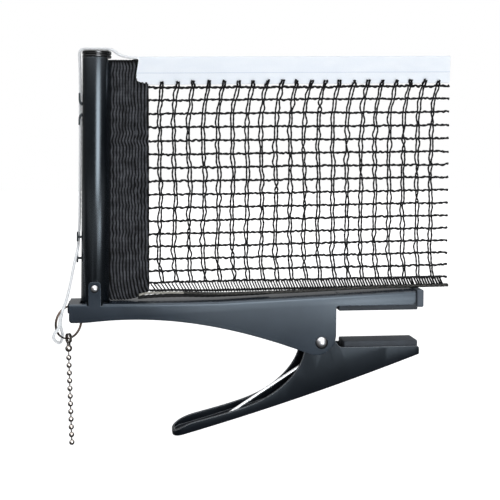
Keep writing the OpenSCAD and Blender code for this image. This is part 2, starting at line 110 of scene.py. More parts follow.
def mirrored(tree, ray):
    """One for a ray that comes by way of gloss or of something clear."""
    return maths(tree, "MAXIMUM", ray.outputs["Is Glossy Ray"], ray.outputs["Is Transmission Ray"])


def emptied(owner):
    """The shader nodes of a world or a material, with none left in them."""
    owner.use_nodes = True
    owner.node_tree.nodes.clear()
    return owner.node_tree


def cover(piece, finish):
    """Gives a piece one finish and no other."""
    piece.data.materials.clear()
    piece.data.materials.append(finish)


studio = bpy.data.worlds.new("studio")
bpy.context.scene.world = studio
tree = emptied(studio)
ray = put(tree, "LightPath")
sky = put(tree, "SeparateXYZ", {0: put(tree, "TexCoord").outputs["Generated"]})
# What gloss sees of the room: dim in front, darker to the right, lighter low behind, bright overhead
side = ramp(tree, sky.outputs["X"], -0.7, 0.2, 0.11, 0.01)
behind = ramp(tree, sky.outputs["Y"], 0.6, 0.97, 0.0, 0.38)
overhead = ramp(tree, sky.outputs["Z"], 0.35, 0.85, 0.0, 2.2)
room = maths(tree, "ADD", maths(tree, "ADD", side, behind), overhead)
soft = put(tree, "Mix", {0: mirrored(tree, ray), 2: 0.36, 3: room})
strength = put(tree, "Mix", {0: ray.outputs["Is Camera Ray"], 2: soft, 3: 1.0})
glow = put(tree, "Background", {"Color": (1, 1, 1, 1), "Strength": strength})
put(tree, "OutputWorld", {0: glow})

floor_size, floor_z = 6, -0.102
bpy.ops.mesh.primitive_plane_add(size=floor_size, location=(0, 0, floor_z))
floor = bpy.context.object
floor.name = "floor"
pale = bpy.data.materials.new("pale_floor")
tree = emptied(pale)
matt = put(tree, "BsdfDiffuse", {"Color": (0.86, 0.86, 0.86, 1)})
spot = where(tree)
away = put(tree, "VectorMath", {0: spot}, operation="LENGTH")
lift = ramp(tree, away.outputs["Value"], 0.25, 0.95, 0.62, 1.0)
white = put(tree, "Emission", {"Color": (1, 1, 1, 1), "Strength": lift})
lit = put(tree, "AddShader", {0: matt, 1: white})
# In gloss the floor is dark just before the clamp, lighter under the lamp and lighter behind
depth = put(tree, "SeparateXYZ", {0: spot})
pool = ramp(tree, depth.outputs["Y"], -0.22, -0.55, 0.04, 0.40)
fall = ramp(tree, depth.outputs["Y"], -0.05, 0.30, 0.0, 0.35)
sheen = put(tree, "Emission", {"Color": (1, 1, 1, 1), "Strength": maths(tree, "ADD", pool, fall)})
ray = put(tree, "LightPath")
direct = put(tree, "MixShader", {0: ray.outputs["Is Camera Ray"], 1: matt, 2: lit})
ground = put(tree, "MixShader", {0: mirrored(tree, ray), 1: direct, 2: sheen})
put(tree, "OutputMaterial", {0: ground})
cover(floor, pale)


def softbox(name, place, aim, size, power, cloth=True, gloss=True):
    """A soft lamp at a place that faces another, and may be kept off cloth or out of gloss."""
    lamp = bpy.data.lights.new(name, "AREA")
    lamp.shape = "RECTANGLE"
    lamp.size, lamp.size_y = size
    lamp.energy = power
    lamp.color = (0.92, 0.96, 1.0)
    box = bpy.data.objects.new(name, lamp)
    box.location = place
    box.rotation_euler = (Vector(aim) - Vector(place)).to_track_quat("-Z", "Y").to_euler()
    box.visible_camera, box.visible_diffuse, box.visible_glossy = False, cloth, gloss
    bpy.context.collection.objects.link(box)


softbox("tall_lamp", (0.10, -0.97, 0.28), (-0.16, 0, 0.10), (0.40, 0.62), 3.8)
softbox("strip_lamp", (0.13, -0.98, 0.30), (-0.16, 0, 0.10), (0.62, 0.66), 3.8, cloth=False)
softbox("low_lamp", (0.035, -0.37, -0.052), (-0.01, 0, 0.01), (0.26, 0.055), 0.175)
softbox("arm_lamp", (0.105, -0.35, -0.050), (0.0, 0, 0.01), (0.09, 0.05), 0.08)
softbox("fill_lamp", (-0.95, -0.75, 0.30), (-0.1, 0, 0.05), (0.5, 0.9), 0.8, gloss=False)
softbox("top_lamp", (-0.05, -0.15, 0.95), (-0.06, 0, 0.0), (0.9, 0.7), 3.5)


# ---- Net cord ----
# White braided cord, 1.8 mm thick. It leaves the tape's corner, runs over the post's cap, down
# the outer side and round the lower cleat, and its tail is looped and knotted on the ring.

origin_in = 25


def at(x, y, z):
    """A point given in millimetres from the table's edge, in the clamp's own frame."""
    return Vector(((x - origin_in) / 1000, y / 1000, z / 1000))


def smooth_route(points, step):
    """The points of one smooth line through all those given, a step apart."""
    ends = [2 * points[0] - points[1], *points, 2 * points[-1] - points[-2]]
    fine, parts = [], 24
    for a, b, c, d in zip(ends, ends[1:], ends[2:], ends[3:]):
        for t in (i / parts for i in range(parts)):
            fine.append(0.5 * (2 * b + (c - a) * t + (2 * a - 5 * b + 4 * c - d) * t * t
                               + (3 * b - a - 3 * c + d) * t ** 3))
    fine.append(points[-1])
    reach = [0.0]
    for a, b in zip(fine, fine[1:]):
        reach.append(reach[-1] + (b - a).length)
    count = max(2, round(reach[-1] / step))
    route, k = [], 0
    for i in range(count + 1):
        s = reach[-1] * i / count
        while k < len(reach) - 2 and reach[k + 1] < s:
            k += 1
        span = reach[k + 1] - reach[k]
        route.append(fine[k].lerp(fine[k + 1], (s - reach[k]) / span if span else 0))
    return route


class Spool:
    """Gathers yarns, each a closed tube along its route, into one mesh with its length and turn as UV."""

    def __init__(self):
        self.points, self.faces, self.uv = [], [], []

    def lay(self, route, radius, sides, up=(0, 0.3, 1)):
        """radius is a function of the distance along the route and the angle round it."""
        first, side, gone = len(self.points), None, 0.0
        for i, p in enumerate(route):
            d = (route[min(i + 1, len(route) - 1)] - route[max(i - 1, 0)]).normalized()
            if side is None:
                side = d.cross(Vector(up)).normalized()
            side = (side - side.dot(d) * d).normalized()
            other = d.cross(side)
            if i:
                gone += (p - route[i - 1]).length
            for k in range(sides):
                a = 2 * math.pi * k / sides
                self.points.append(p + radius(gone, a) * (math.cos(a) * side + math.sin(a) * other))
            if i:
                step = (p - route[i - 1]).length
                for k in range(sides):
                    n = (k + 1) % sides
                    low, high = first + (i - 1) * sides, first + i * sides
                    self.faces.append((low + k, low + n, high + n, high + k))
                    self.uv.append(((gone - step, k / sides), (gone - step, (k + 1) / sides),
                                    (gone, (k + 1) / sides), (gone, k / sides)))
        last = len(self.points) - sides
        self.faces.append(tuple(first + k for k in reversed(range(sides))))
        self.uv.append(tuple((0, k / sides) for k in reversed(range(sides))))
        self.faces.append(tuple(last + k for k in range(sides)))
        self.uv.append(tuple((gone, k / sides) for k in range(sides)))

    def piece(self, name):
        mesh = bpy.data.meshes.new(name)
        mesh.from_pydata(self.points, [], self.faces)
        layer = mesh.uv_layers.new(name="along")
        layer.data.foreach_set("uv", [c for face in self.uv for pair in face for c in pair])
        mesh.polygons.foreach_set("use_smooth", [True] * len(mesh.polygons))
        made = bpy.data.objects.new(name, mesh)
        bpy.context.collection.objects.link(made)
        return made


def strand(name, route, radius, sides):
    """A piece that is one yarn or wire."""
    spool = Spool()
    spool.lay(route, radius, sides)
    return spool.piece(name)


def braid(r, pitch, strands, depth):
    """Radius of a braided cord: two sets of strands wound opposite ways, over and under each other."""
    turn = 2 * math.pi / pitch
    return lambda s, a: r * (1 - depth + depth * max(math.cos(strands * a + turn * s),
                                                     math.cos(strands * a - turn * s)))


cord_d, cord_step = 0.0018, 0.0004
white_lay = braid(cord_d / 2, 0.0034, 3, 0.07)
cord_route = smooth_route([at(*p) for p in (
    (-118.95, 0, 151.5), (-122.5, 0, 151.9), (-126, 0, 152.4), (-129.2, 0, 153.3), (-131.5, 0, 154.7),
    (-133.3, 0, 156), (-135.5, 0, 156.7), (-139, 0, 156.8), (-143, 0, 156.75),
    (-147, 0, 156.8), (-150.3, 0.4, 156.8), (-152.4, 0.8, 156.1), (-153.2, 1.4, 154.2),
    (-153.2, 2, 151.4), (-153.1, 2.4, 147), (-153, 2.7, 134), (-153.1, 2.7, 121),
    (-153.2, 2.7, 106), (-153.5, 2.7, 88), (-153.8, 2.7, 70), (-154.1, 2.7, 56),
    (-154.5, 2.7, 49), (-154.8, 2.6, 43.6), (-154.9, 1.9, 41.2), (-155, 0.2, 39.5),
    (-155.2, -1.6, 38.1), (-155.6, -2.4, 36.4), (-156, -2.7, 34.6))], cord_step)
tail_route = smooth_route([at(*p) for p in (
    (-156.05, -2.72, 34.45), (-156.9, -2.9, 30.7), (-157.8, -3.1, 26.4), (-159, -3.6, 20.4),
    (-160.3, -4.6, 14.2), (-161.8, -5.8, 8.6), (-163.5, -6.8, 3.9), (-164.4, -7, 0.6))], cord_step)
loop_route = smooth_route([at(*p) for p in (
    (-164.5, -7, 0.1), (-165, -6.6, -2.8), (-165.2, -5.4, -6), (-165, -3.4, -9),
    (-164.7, -1.2, -11.6), (-164.8, 0.3, -14.1), (-165.2, 0, -16.4), (-166.1, -2.3, -17.5),
    (-167.2, -5, -16.4), (-168.6, -8, -14.3), (-169, -9.8, -11.7), (-168.2, -10.2, -9.7),
    (-166.9, -9.8, -8.3), (-165.9, -9.2, -6.4), (-165.4, -8.9, -4.2), (-165.1, -9.1, -1.4),
    (-164.4, -9.4, 1.2))], cord_step)


def shader_group(name, inputs, outputs):
    """An effect that several finishes share. Gives its tree, the inputs and the outputs' node."""
    made = bpy.data.node_groups.new(name, "ShaderNodeTree")
    for socket, kind in inputs:
        made.interface.new_socket(socket, in_out="INPUT", socket_type="NodeSocket" + kind)
    for socket, kind in outputs:
        made.interface.new_socket(socket, in_out="OUTPUT", socket_type="NodeSocket" + kind)
    return made, made.nodes.new("NodeGroupInput").outputs, made.nodes.new("NodeGroupOutput")


def mixed(tree, share, first, second):
    """A colour between two others."""
    return put(tree, "Mix", {0: share, 6: first, 7: second}, data_type="RGBA")


def grains(tree, spot, scale, detail, roughness=0.5):
    return put(tree, "TexNoise", {"Vector": spot, "Scale": scale, "Detail": detail, "Roughness": roughness})


def new_finish(name):
    """An empty material and its shader nodes."""
    made = bpy.data.materials.new(name)
    return made, emptied(made)


def skinned(tree, inputs):
    """Ends a material with its Principled BSDF."""
    put(tree, "OutputMaterial", {0: put(tree, "BsdfPrincipled", inputs)})


# Yarn: strands wound round the cord, read from the length and the turn in its UV map.
yarn, given, out = shader_group(
    "yarn", [("Turns", "Float"), ("Strands", "Float")],
    [("Height", "Float"), ("Groove shade", "Float"), ("Fibre", "Float")])
place = put(yarn, "SeparateXYZ", {0: put(yarn, "UVMap", uv_map="along")})
wound = maths(yarn, "MULTIPLY", place.outputs["X"], given["Turns"])
round_it = maths(yarn, "MULTIPLY", place.outputs["Y"], given["Strands"])
phase = maths(yarn, "ADD", round_it, wound)
crown = maths(yarn, "MULTIPLY", maths(yarn, "PINGPONG", phase, 0.5), 2.0)
fibres = grains(yarn, where(yarn), 5200.0, 3.0, 0.7)
rough_crown = ramp(yarn, fibres, 0.2, 0.8, -0.22, 0.22)
height = maths(yarn, "ADD", crown, rough_crown)
# Painted shade: the grooves where the strands part
groove = ramp(yarn, crown, 0.0, 0.35, 1.0, 0.0)
feed(yarn, out, {"Height": height, "Groove shade": groove, "Fibre": fibres})


def yarn_finish(name, colour, groove_shade, turns, strands, roughness, relief, sheen):
    """Spun or braided yarn: its strands stand out, and the grooves between them are painted darker, as shade."""
    made, tree = new_finish(name)
    spun = put(tree, "Group", {"Turns": turns, "Strands": strands}, node_tree=yarn)
    patch = grains(tree, where(tree), 260.0, 2.0)
    tint = mixed(tree, patch, (*[c * 0.86 for c in colour], 1), (*colour, 1))
    shade = mixed(tree, spun.outputs["Groove shade"], tint, (*groove_shade, 1))
    worn = ramp(tree, spun.outputs["Fibre"], 0.2, 0.8, roughness - 0.1, min(1.0, roughness + 0.1))
    bump = put(tree, "Bump", {"Height": spun.outputs["Height"], "Strength": 0.6, "Distance": relief})
    skinned(tree, {
        "Base Color": shade, "Roughness": worn, "Normal": bump,
        "Specular IOR Level": 0.3, "Sheen Weight": sheen, "Sheen Roughness": 0.5})
    return made


white_braid = yarn_finish("white_braid", (0.93, 0.935, 0.94), (0.74, 0.75, 0.77), 420, 4, 0.75, 0.00008, 0.6)

tension_cord = strand("white_net_cord", cord_route, white_lay, 14)
cover(tension_cord, white_braid)
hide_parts("tension_cord")
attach(tension_cord, "bracket")

cord_tail = strand("white_cord_tail", tail_route, white_lay, 14)
cover(cord_tail, white_braid)
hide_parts("cord_tail")
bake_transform(cord_tail)

cord_loop = strand("white_cord_loop", loop_route, white_lay, 14)
cover(cord_loop, white_braid)
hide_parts("cord_loop")
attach(cord_loop, "ring")


# ---- Clamp bracket ----
# One pressed channel of 1.5 mm steel sheet, open below, with a rounded lobe at the pivot, an arm
# over the table, two tabs for the post and a tongue for the ring. Powder coated dark blue-grey.

def start(name, add, **place):
    """A new primitive, alone selected and open in edit mode."""
    bpy.ops.object.select_all(action="DESELECT")
    add(**place)
    made = bpy.context.object
    made.name = made.data.name = name
    bpy.ops.object.mode_set(mode="EDIT")
    bpy.ops.mesh.select_mode(type="VERT")
    bpy.ops.mesh.select_all(action="SELECT")
    return made


def pick(test, kind="FACE"):
    """Selects the open piece's faces, edges or vertices for which the test holds."""
    bpy.ops.mesh.select_mode(type=kind)
    bpy.ops.mesh.select_all(action="DESELECT")
    mesh = bmesh.from_edit_mesh(bpy.context.object.data)
    mesh.normal_update()
    for x in {"FACE": mesh.faces, "EDGE": mesh.edges, "VERT": mesh.verts}[kind]:
        if test(x):
            x.select_set(True)
    bmesh.update_edit_mesh(bpy.context.object.data)


def edge_mm(x):
    """How many millimetres an x of the frame lies in from the table's edge."""
    return x * 1000 + origin_in


def middle(x):
    """The middle of an edge or face, in millimetres from the table's edge."""
    p = sum((v.co for v in x.verts), Vector()) / len(x.verts)
    return Vector((edge_mm(p.x), p.y * 1000, p.z * 1000))


def extrude(by):
    bpy.ops.mesh.extrude_region_move(TRANSFORM_OT_translate={"value": by})


def face_out():
    """Selects the whole open piece and turns its faces outward."""
    bpy.ops.mesh.select_all(action="SELECT")
    bpy.ops.mesh.normals_make_consistent(inside=False)


def cube(name, centre, size):
    """A block given by its middle and its size, in millimetres."""
    return start(name, bpy.ops.mesh.primitive_cube_add, size=1, location=at(*centre),
                 scale=[length / 1000 for length in size])


def trace(name, points, closed=True):
    """An outline drawn by extruding one vertex from point to point, in metres."""
    made = start(name, bpy.ops.mesh.primitive_plane_add, size=0.001)
    bpy.ops.mesh.merge(type="CENTER")
    bpy.ops.transform.translate(value=points[0])
    for a, b in zip(points, points[1:]):
        extrude(b - a)
    bpy.ops.mesh.select_all(action="SELECT")
    if closed:
        bpy.ops.mesh.edge_face_add()
    return made


def slab(name, outline, y, depth):
    """A plate with a side view's outline, from y on by its depth, in millimetres."""
    made = trace(name, [at(x, y, z) for x, z in outline])
    extrude((0, depth / 1000, 0))
    face_out()
    return made


def done(piece, smooth=35):
    """Closes the piece, puts its place in its mesh and shades it smooth but for its sharp edges."""
    if piece.mode == "EDIT":
        bpy.ops.object.mode_set(mode="OBJECT")
    bpy.ops.object.select_all(action="DESELECT")
    piece.select_set(True)
    bpy.context.view_layer.objects.active = piece
    bpy.ops.object.transform_apply(location=True, rotation=True, scale=True)
    if smooth:
        bpy.ops.object.shade_smooth_by_angle(angle=math.radians(smooth))
    piece.select_set(False)
    return piece


def modify(piece, kind, **settings):
    """Adds a modifier and applies it."""
    if piece.mode == "EDIT":
        bpy.ops.object.mode_set(mode="OBJECT")
    bpy.context.view_layer.objects.active = piece
    made = piece.modifiers.new(kind.lower(), kind)
    for name, value in settings.items():
        setattr(made, name, value)
    bpy.ops.object.modifier_apply(modifier=made.name)


def thicken(piece, thickness, side):
    """Makes a solid of a sheet, all on its inner side at -1 or half on each at 0."""
    modify(piece, "SOLIDIFY", thickness=thickness, offset=side, use_even_offset=True)


def soften(piece, width, segments, angle):
    """Rounds the edges that turn by more than an angle in degrees."""
    modify(piece, "BEVEL", width=width, segments=segments, limit_method="ANGLE", angle_limit=math.radians(angle))


def bevel(width, segments):
    """Rounds the edges that are selected."""
    bpy.ops.mesh.bevel(offset=width, segments=segments, affect="EDGES")


def cut(piece, tool, how="DIFFERENCE"):
    """Cuts the piece with a tool, or joins the two, and takes the tool away."""
    if tool.mode == "EDIT":
        bpy.ops.object.mode_set(mode="OBJECT")
    modify(piece, "BOOLEAN", operation=how, object=tool, solver="EXACT")
    bpy.data.objects.remove(tool)


def drilled(piece, centre, r):
    """A round hole right through a piece from front to back."""
    drill = start("drill", bpy.ops.mesh.primitive_cylinder_add, vertices=32, radius=r / 1000, depth=0.03,
                  location=at(centre[0], 0, centre[1]), rotation=(math.pi / 2, 0, 0))
    cut(piece, done(drill, 0))


def bend(a, b, c, d, steps):
    """Points of a cubic curve from a to d, with handles b and c."""
    return [tuple((1 - t) ** 3 * p + 3 * (1 - t) ** 2 * t * q + 3 * (1 - t) * t * t * r + t ** 3 * s
                  for p, q, r, s in zip(a, b, c, d)) for t in (i / steps for i in range(steps + 1))]


def arc(centre, r, first, last, steps):
    """Points round a centre from one angle to another, in degrees."""
    angles = [math.radians(first + (last - first) * i / steps) for i in range(steps + 1)]
    return [(centre[0] + r * math.cos(a), centre[1] + r * math.sin(a)) for a in angles]


def clean(points):
    """Leaves out points that lie on the one before."""
    kept = [points[0]]
    for p in points[1:]:
        if math.dist(p, kept[-1]) > 0.05:
            kept.append(p)
    if math.dist(kept[0], kept[-1]) < 0.05:
        kept.pop()
    return kept


sheet, outer_bend = 1.5, 2.1
bracket_half = 10
web_top, web_bend, arm_top, arm_reach = 7.2, -72, 11.9, 48
pivot, pivot_hole = (-9.7, -18.6), 3.05
post_out, rivet_z, rivet_hole = -144.9, 15.9, 1.55

bracket_side = clean(
    arc((-158, -2.1), 2, 180, 270, 6)
    + bend((-152, -4.1), (-145, -3.9), (-139, -2.7), (-124, -2.7), 12)
    + bend((-124, -2.7), (-92.5, -2.7), (-58.5, -9.2), (-17.3, -25.2), 30)
    + arc((-12.9, -14.1), 12, -110, 0, 24)
    + arc((0.7, 1.8), 1.5, 180, 90, 5)
    + arc((45, 6.3), 3, -90, 0, 6)
    + [(arm_reach, arm_top), (web_bend, web_top), (-160, web_top)])

bracket = slab("clamp_bracket", bracket_side, -bracket_half, 2 * bracket_half)
# The press leaves the web and both flanges: what closes the outline below and at its ends is open
pick(lambda f: abs(f.normal.y) < 0.5 and not (f.normal.z > 0.9 and middle(f).z > 7))
bpy.ops.mesh.delete(type="FACE")
pick(lambda e: {abs(f.normal.y) > 0.5 for f in e.link_faces} == {True, False}, "EDGE")
bevel(outer_bend / 1000, 5)
thicken(bracket, sheet / 1000, -1)

# Opening in the web for the post
cutter = cube("opening_punch", (post_out, 0, 9), (17.6, 16.6, 12))
cut(bracket, done(cutter, 0))

# Tabs on both sides of the post, standing up from the flanges, with a relief cut on each side
tab_half, tab_top, tab_r, tab_y = 3.7, 20, 2.2, 9.25
for s in (-1, 1):
    for t in (-1, 1):
        cutter = cube("relief_punch", (post_out + t * (tab_half + 0.4), s * 9.6, 8), (0.8, 4.2, 4.4))
        cut(bracket, done(cutter, 0))
    tab = slab("post_tab", clean(
        [(post_out - tab_half, 3), (post_out + tab_half, 3)]
        + arc((post_out + tab_half - tab_r, tab_top - tab_r), tab_r, 0, 90, 6)
        + arc((post_out - tab_half + tab_r, tab_top - tab_r), tab_r, 90, 180, 6)), s * tab_y - sheet / 2, sheet)
    bpy.ops.transform.resize(value=(0.997, 0.985, 0.997), center_override=at(post_out, s * tab_y, 11))
    cut(bracket, done(tab, 0), "UNION")

# Tongue at the outer end: the web runs on, folds down and is drilled for the ring
tongue = trace("ring_tongue", [at(x, -4.5, z) for x, z in clean(
    [(-155, web_top - sheet / 2), (-158.7, web_top - sheet / 2)]
    + arc((-158.95, 4.95), 1.5, 90, 180, 5) + [(-160.45, 0.3)])], closed=False)
extrude((0, 0.009, 0))
pick(lambda v: v.co.z < 0.0005, "VERT")
bpy.ops.mesh.bevel(offset=0.0018, segments=4, affect="VERTICES")
thicken(tongue, sheet / 1000, 0)
bpy.ops.object.mode_set(mode="EDIT")
face_out()
bpy.ops.object.mode_set(mode="OBJECT")
drill = start("ring_drill", bpy.ops.mesh.primitive_cylinder_add, vertices=32, radius=0.0026, depth=0.008,
              location=at(-160.45, 0, 4), rotation=(0, math.pi / 2, 0))
cut(tongue, done(drill, 0))
cut(bracket, tongue, "UNION")

drilled(bracket, pivot, pivot_hole)
drilled(bracket, (post_out, rivet_z), rivet_hole)
soften(bracket, 0.00028, 2, 48)
done(bracket)


def scaled(tree, colour, by):
    return put(tree, "VectorMath", {0: colour, "Scale": by}, operation="SCALE")


# Wear shared by painted steel: rubbed edges, a cloudy tone and a fine orange peel. When made even, the rubbed
# edges run on unbroken and serve as a painted highlight along the rims
coat, given, out = shader_group(
    "coated_steel", [("Colour", "Color"), ("Bare or highlight", "Color"), ("Peel size", "Float"), ("Wear", "Float"),
                     ("Even highlight", "Float"), ("Shine", "Float")],
    [("Colour", "Color"), ("Roughness", "Float"), ("Height", "Float"), ("Rounding", "Vector")])
spot = where(coat)
peel = grains(coat, spot, given["Peel size"], 2.0, 0.5)
speck = grains(coat, spot, 6000.0, 1.0)
cloud = grains(coat, spot, 55.0, 4.0)
rounded = put(coat, "Bevel", {"Radius": 0.0007}, samples=4)
flat = put(coat, "NewGeometry")
lined = put(coat, "VectorMath", {0: rounded, 1: flat.outputs["Normal"]}, operation="DOT_PRODUCT")
edge = ramp(coat, lined.outputs["Value"], 0.985, 0.90, 0.0, 1.0)
# Painted highlight: evened out, the edge colour runs unbroken along every edge
patchy = ramp(coat, grains(coat, spot, 420.0, 5.0, 0.7), 0.5, 0.64, given["Even highlight"], 1.0)
rubbed_or_highlit_edges = maths(coat, "MULTIPLY", edge, patchy)
worn = maths(coat, "MULTIPLY", rubbed_or_highlit_edges, given["Wear"])
darker = ramp(coat, cloud, 0.3, 0.7, 0.86, 1.12)
tinted = scaled(coat, given["Colour"], darker)
painted = mixed(coat, worn, tinted, given["Bare or highlight"])
smear = ramp(coat, cloud, 0.3, 0.7, -0.015, 0.02)
gloss = maths(coat, "ADD", given["Shine"], smear)
grain = maths(coat, "MULTIPLY_ADD", speck, 0.25, peel)
feed(coat, out, {"Colour": painted, "Roughness": gloss, "Height": grain, "Rounding": rounded})


def coated(name, colour, bare_or_highlight, peel_size, wear, roughness, relief, specular=0.5, even=0.0):
    """Powder-coated or painted steel."""
    made, tree = new_finish(name)
    layer = put(tree, "Group", {
        "Colour": (*colour, 1), "Bare or highlight": (*bare_or_highlight, 1), "Peel size": peel_size, "Wear": wear, "Even highlight": even,
        "Shine": roughness}, node_tree=coat)
    bump = put(tree, "Bump", {"Height": layer.outputs["Height"], "Strength": 0.35, "Distance": relief,
                              "Normal": layer.outputs["Rounding"]})
    skinned(tree, {
        "Base Color": layer.outputs["Colour"], "Roughness": layer.outputs["Roughness"], "Normal": bump,
        "Specular IOR Level": specular, "Specular Tint": (0.80, 0.91, 1.0, 1)})
    return made


bracket_paint = coated("bracket_powder_coat", (0.0130, 0.0190, 0.0285), (0.20, 0.21, 0.22),
                       1500, 0.5, 0.22, 0.00002, 0.56)
cover(bracket, bracket_paint)
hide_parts("bracket_channel")
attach(bracket, "bracket")


# ---- Upper jaw pad ----
# A moulded rubber liner pressed into the arm, whose flat face lies on the table top,
# with a block that covers the arm's end. Mid grey, slightly blue.

pad = cube("upper_jaw_liner", (25.5, 0, 5.05), (48.6, 16.8, 10.1))
# Its upper side rises with the web over it
pick(lambda v: v.co.z > 0.008 and edge_mm(v.co.x) < 10, "VERT")
bpy.ops.transform.translate(value=(0, 0, -0.00165))
pick(lambda e: middle(e).z < 0.1 or (
    abs(middle(e).x - 49.8) < 0.1 and abs(e.verts[0].co.z - e.verts[1].co.z) > 0.001), "EDGE")
bevel(0.0007, 3)
done(pad)
block = cube("arm_end_block", (50.9, 0, 7.1), (4.2, 20, 10.6))
bevel(0.0009, 4)
cut(pad, done(block), "UNION")
done(pad)


def moulded(name, colour, grain_size, roughness, relief, specular=0.4):
    """Moulded rubber or plastic: a fine even grain and a slightly cloudy tone."""
    made, tree = new_finish(name)
    spot = where(tree)
    fine = grains(tree, spot, grain_size, 3.0, 0.6)
    broad = grains(tree, spot, 90.0, 3.0)
    share = ramp(tree, broad, 0.3, 0.7, 0.0, 1.0)
    tint = mixed(tree, share, (*[c * 0.82 for c in colour], 1), (*[c * 1.12 for c in colour], 1))
    matt = ramp(tree, fine, 0.3, 0.7, roughness - 0.08, roughness + 0.08)
    bump = put(tree, "Bump", {"Height": fine, "Strength": 0.4, "Distance": relief})
    skinned(tree, {
        "Base Color": tint, "Roughness": matt, "Normal": bump, "Specular IOR Level": specular})
    return made


jaw_rubber = moulded("jaw_rubber", (0.072, 0.086, 0.106), 2600, 0.7, 0.00008)
# Painted shade: the faces set back behind the flanges are painted darker than the block's own, as if in the
# flanges' shadow
tree = jaw_rubber.node_tree
skin = next(n for n in tree.nodes if n.type == "BSDF_PRINCIPLED")
outward = maths(tree, "ABSOLUTE", put(tree, "SeparateXYZ", {0: where(tree)}).outputs["Y"])
painted_recess_shade = ramp(tree, outward, 0.0084, 0.0092, 0.45, 1.0)
recess_shaded_colour = scaled(tree, skin.inputs["Base Color"].links[0].from_socket, painted_recess_shade)
feed(tree, skin, {"Base Color": recess_shaded_colour})
cover(pad, jaw_rubber)
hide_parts("upper_jaw_pad")
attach(pad, "bracket")


# ---- Pivot rivet ----
# A steel rivet through both flanges and the lever's ears, with a domed head set on each side.
# Bright zinc, a little scuffed where it was peened.

def turned(name, profile, centre, axis, steps):
    """A solid turned from half of its outline: (radius, height) pairs in millimetres, from bottom to top."""
    made = trace(name, [Vector((r / 1000, 0, h / 1000)) for r, h in profile], closed=False)
    bpy.ops.mesh.spin(steps=steps, angle=2 * math.pi, center=(0, 0, 0), axis=(0, 0, 1))
    bpy.ops.mesh.select_all(action="SELECT")
    bpy.ops.mesh.remove_doubles(threshold=0.00001)
    bpy.ops.mesh.normals_make_consistent(inside=False)
    bpy.ops.object.mode_set(mode="OBJECT")
    turn = Vector((0, 0, 1)).rotation_difference(Vector(axis)).to_matrix().to_4x4()
    made.data.transform(Matrix.Translation(centre) @ turn)
    return done(made)


def domed_head(r, h, foot):
    """Half outline of a domed head on a short foot, closed at the pole."""
    rise = h - foot
    ball = (r * r + rise * rise) / (2 * rise)
    sweep = math.asin(min(1.0, r / ball))
    angles = [sweep * (1 - i / 8) for i in range(1, 8)]
    dome = [(ball * math.sin(a), h - ball + ball * math.cos(a)) for a in angles]
    return [(0, -0.3), (r - 0.1, -0.3), (r, 0), (r, foot), *dome, (0, h)]


metal, given, out = shader_group(
    "handled_metal", [("Colour", "Color"), ("Tarnish", "Color"), ("Shine", "Float"), ("Age", "Float")],
    [("Colour", "Color"), ("Roughness", "Float"), ("Height", "Float")])
spot = where(metal)
cloud = grains(metal, spot, 700.0, 5.0, 0.65)
drawn = put(metal, "Mapping", {"Vector": spot, "Scale": (1, 1, 7)})
streak = grains(metal, drawn, 1400.0, 3.0)
old = ramp(metal, cloud, 0.42, 0.68, 0.0, 1.0)
share = maths(metal, "MULTIPLY", old, given["Age"])
shade = mixed(metal, share, given["Colour"], given["Tarnish"])
dull = ramp(metal, streak, 0.3, 0.7, -0.06, 0.10)
gloss = maths(metal, "ADD", given["Shine"], dull)
feed(metal, out, {"Colour": shade, "Roughness": gloss, "Height": streak})


def bare_metal(name, colour, tarnish, roughness, age, relief, rim=1.0):
    """Plated or drawn metal, with cloudy tarnish and fine streaks. Where the surface turns from the view its
    colour is painted darker, down to rim times itself: a painted dark rim that stands in for shade.
    """
    made, tree = new_finish(name)
    layer = put(tree, "Group", {
        "Colour": (*colour, 1), "Tarnish": (*tarnish, 1), "Shine": roughness, "Age": age}, node_tree=metal)
    bump = put(tree, "Bump", {"Height": layer.outputs["Height"], "Strength": 0.25, "Distance": relief})
    # Painted shade: the colour is darkened towards the outline, where the surface turns away from the view
    facing = put(tree, "LayerWeight", {0: 0.5}).outputs["Facing"]
    painted_rim_shade = ramp(tree, facing, 0.10, 0.55, 1.0, rim)
    tone = scaled(tree, layer.outputs["Colour"], painted_rim_shade)
    skinned(tree, {
        "Base Color": tone, "Roughness": layer.outputs["Roughness"], "Normal": bump, "Metallic": 1.0})
    return made


# The domes get a strongly painted dark rim that stands in for the shade round their foot
rivet_zinc = bare_metal("rivet_zinc", (0.84, 0.84, 0.85), (0.50, 0.50, 0.51), 0.36, 0.4, 0.00003, 0.12)


def riveted(name, centre, head, shank_r, head_steps, shank_steps):
    """A rivet through the bracket, with the same domed head on both sides."""
    x, z = centre
    made = turned(name, head, at(x, -bracket_half, z), (0, -1, 0), head_steps)
    shank = [(0, -10), (shank_r - 0.1, -10), (shank_r, -9.9), (shank_r, 9.9), (shank_r - 0.1, 10), (0, 10)]
    cut(made, turned("back_head", head, at(x, bracket_half, z), (0, 1, 0), head_steps), "UNION")
    cut(made, turned("shank", shank, at(x, 0, z), (0, 1, 0), shank_steps), "UNION")
    return done(made)


rivet = riveted("pivot_rivet_domed", pivot, domed_head(3.75, 2.9, 0.35), 3, 48, 32)
cover(rivet, rivet_zinc)
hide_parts("pivot_rivet")
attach(rivet, "bracket")


# ---- Post ----
# A steel tube, 17 mm across, slotted on the net's side and open at the top, painted satin black.
# It stands in the bracket's opening and is riveted between the two tabs.

post_r, post_wall, post_foot, tube_top = 8.45, 1.2, 0.6, 151.4
post_lean = math.radians(0.8)


def lean_over(piece):
    """The post and all that it carries lean a little towards the net, about the post's rivet."""
    foot = Matrix.Translation(at(post_out, 0, rivet_z))
    piece.data.transform(foot @ Matrix.Rotation(post_lean, 4, "Y") @ foot.inverted())


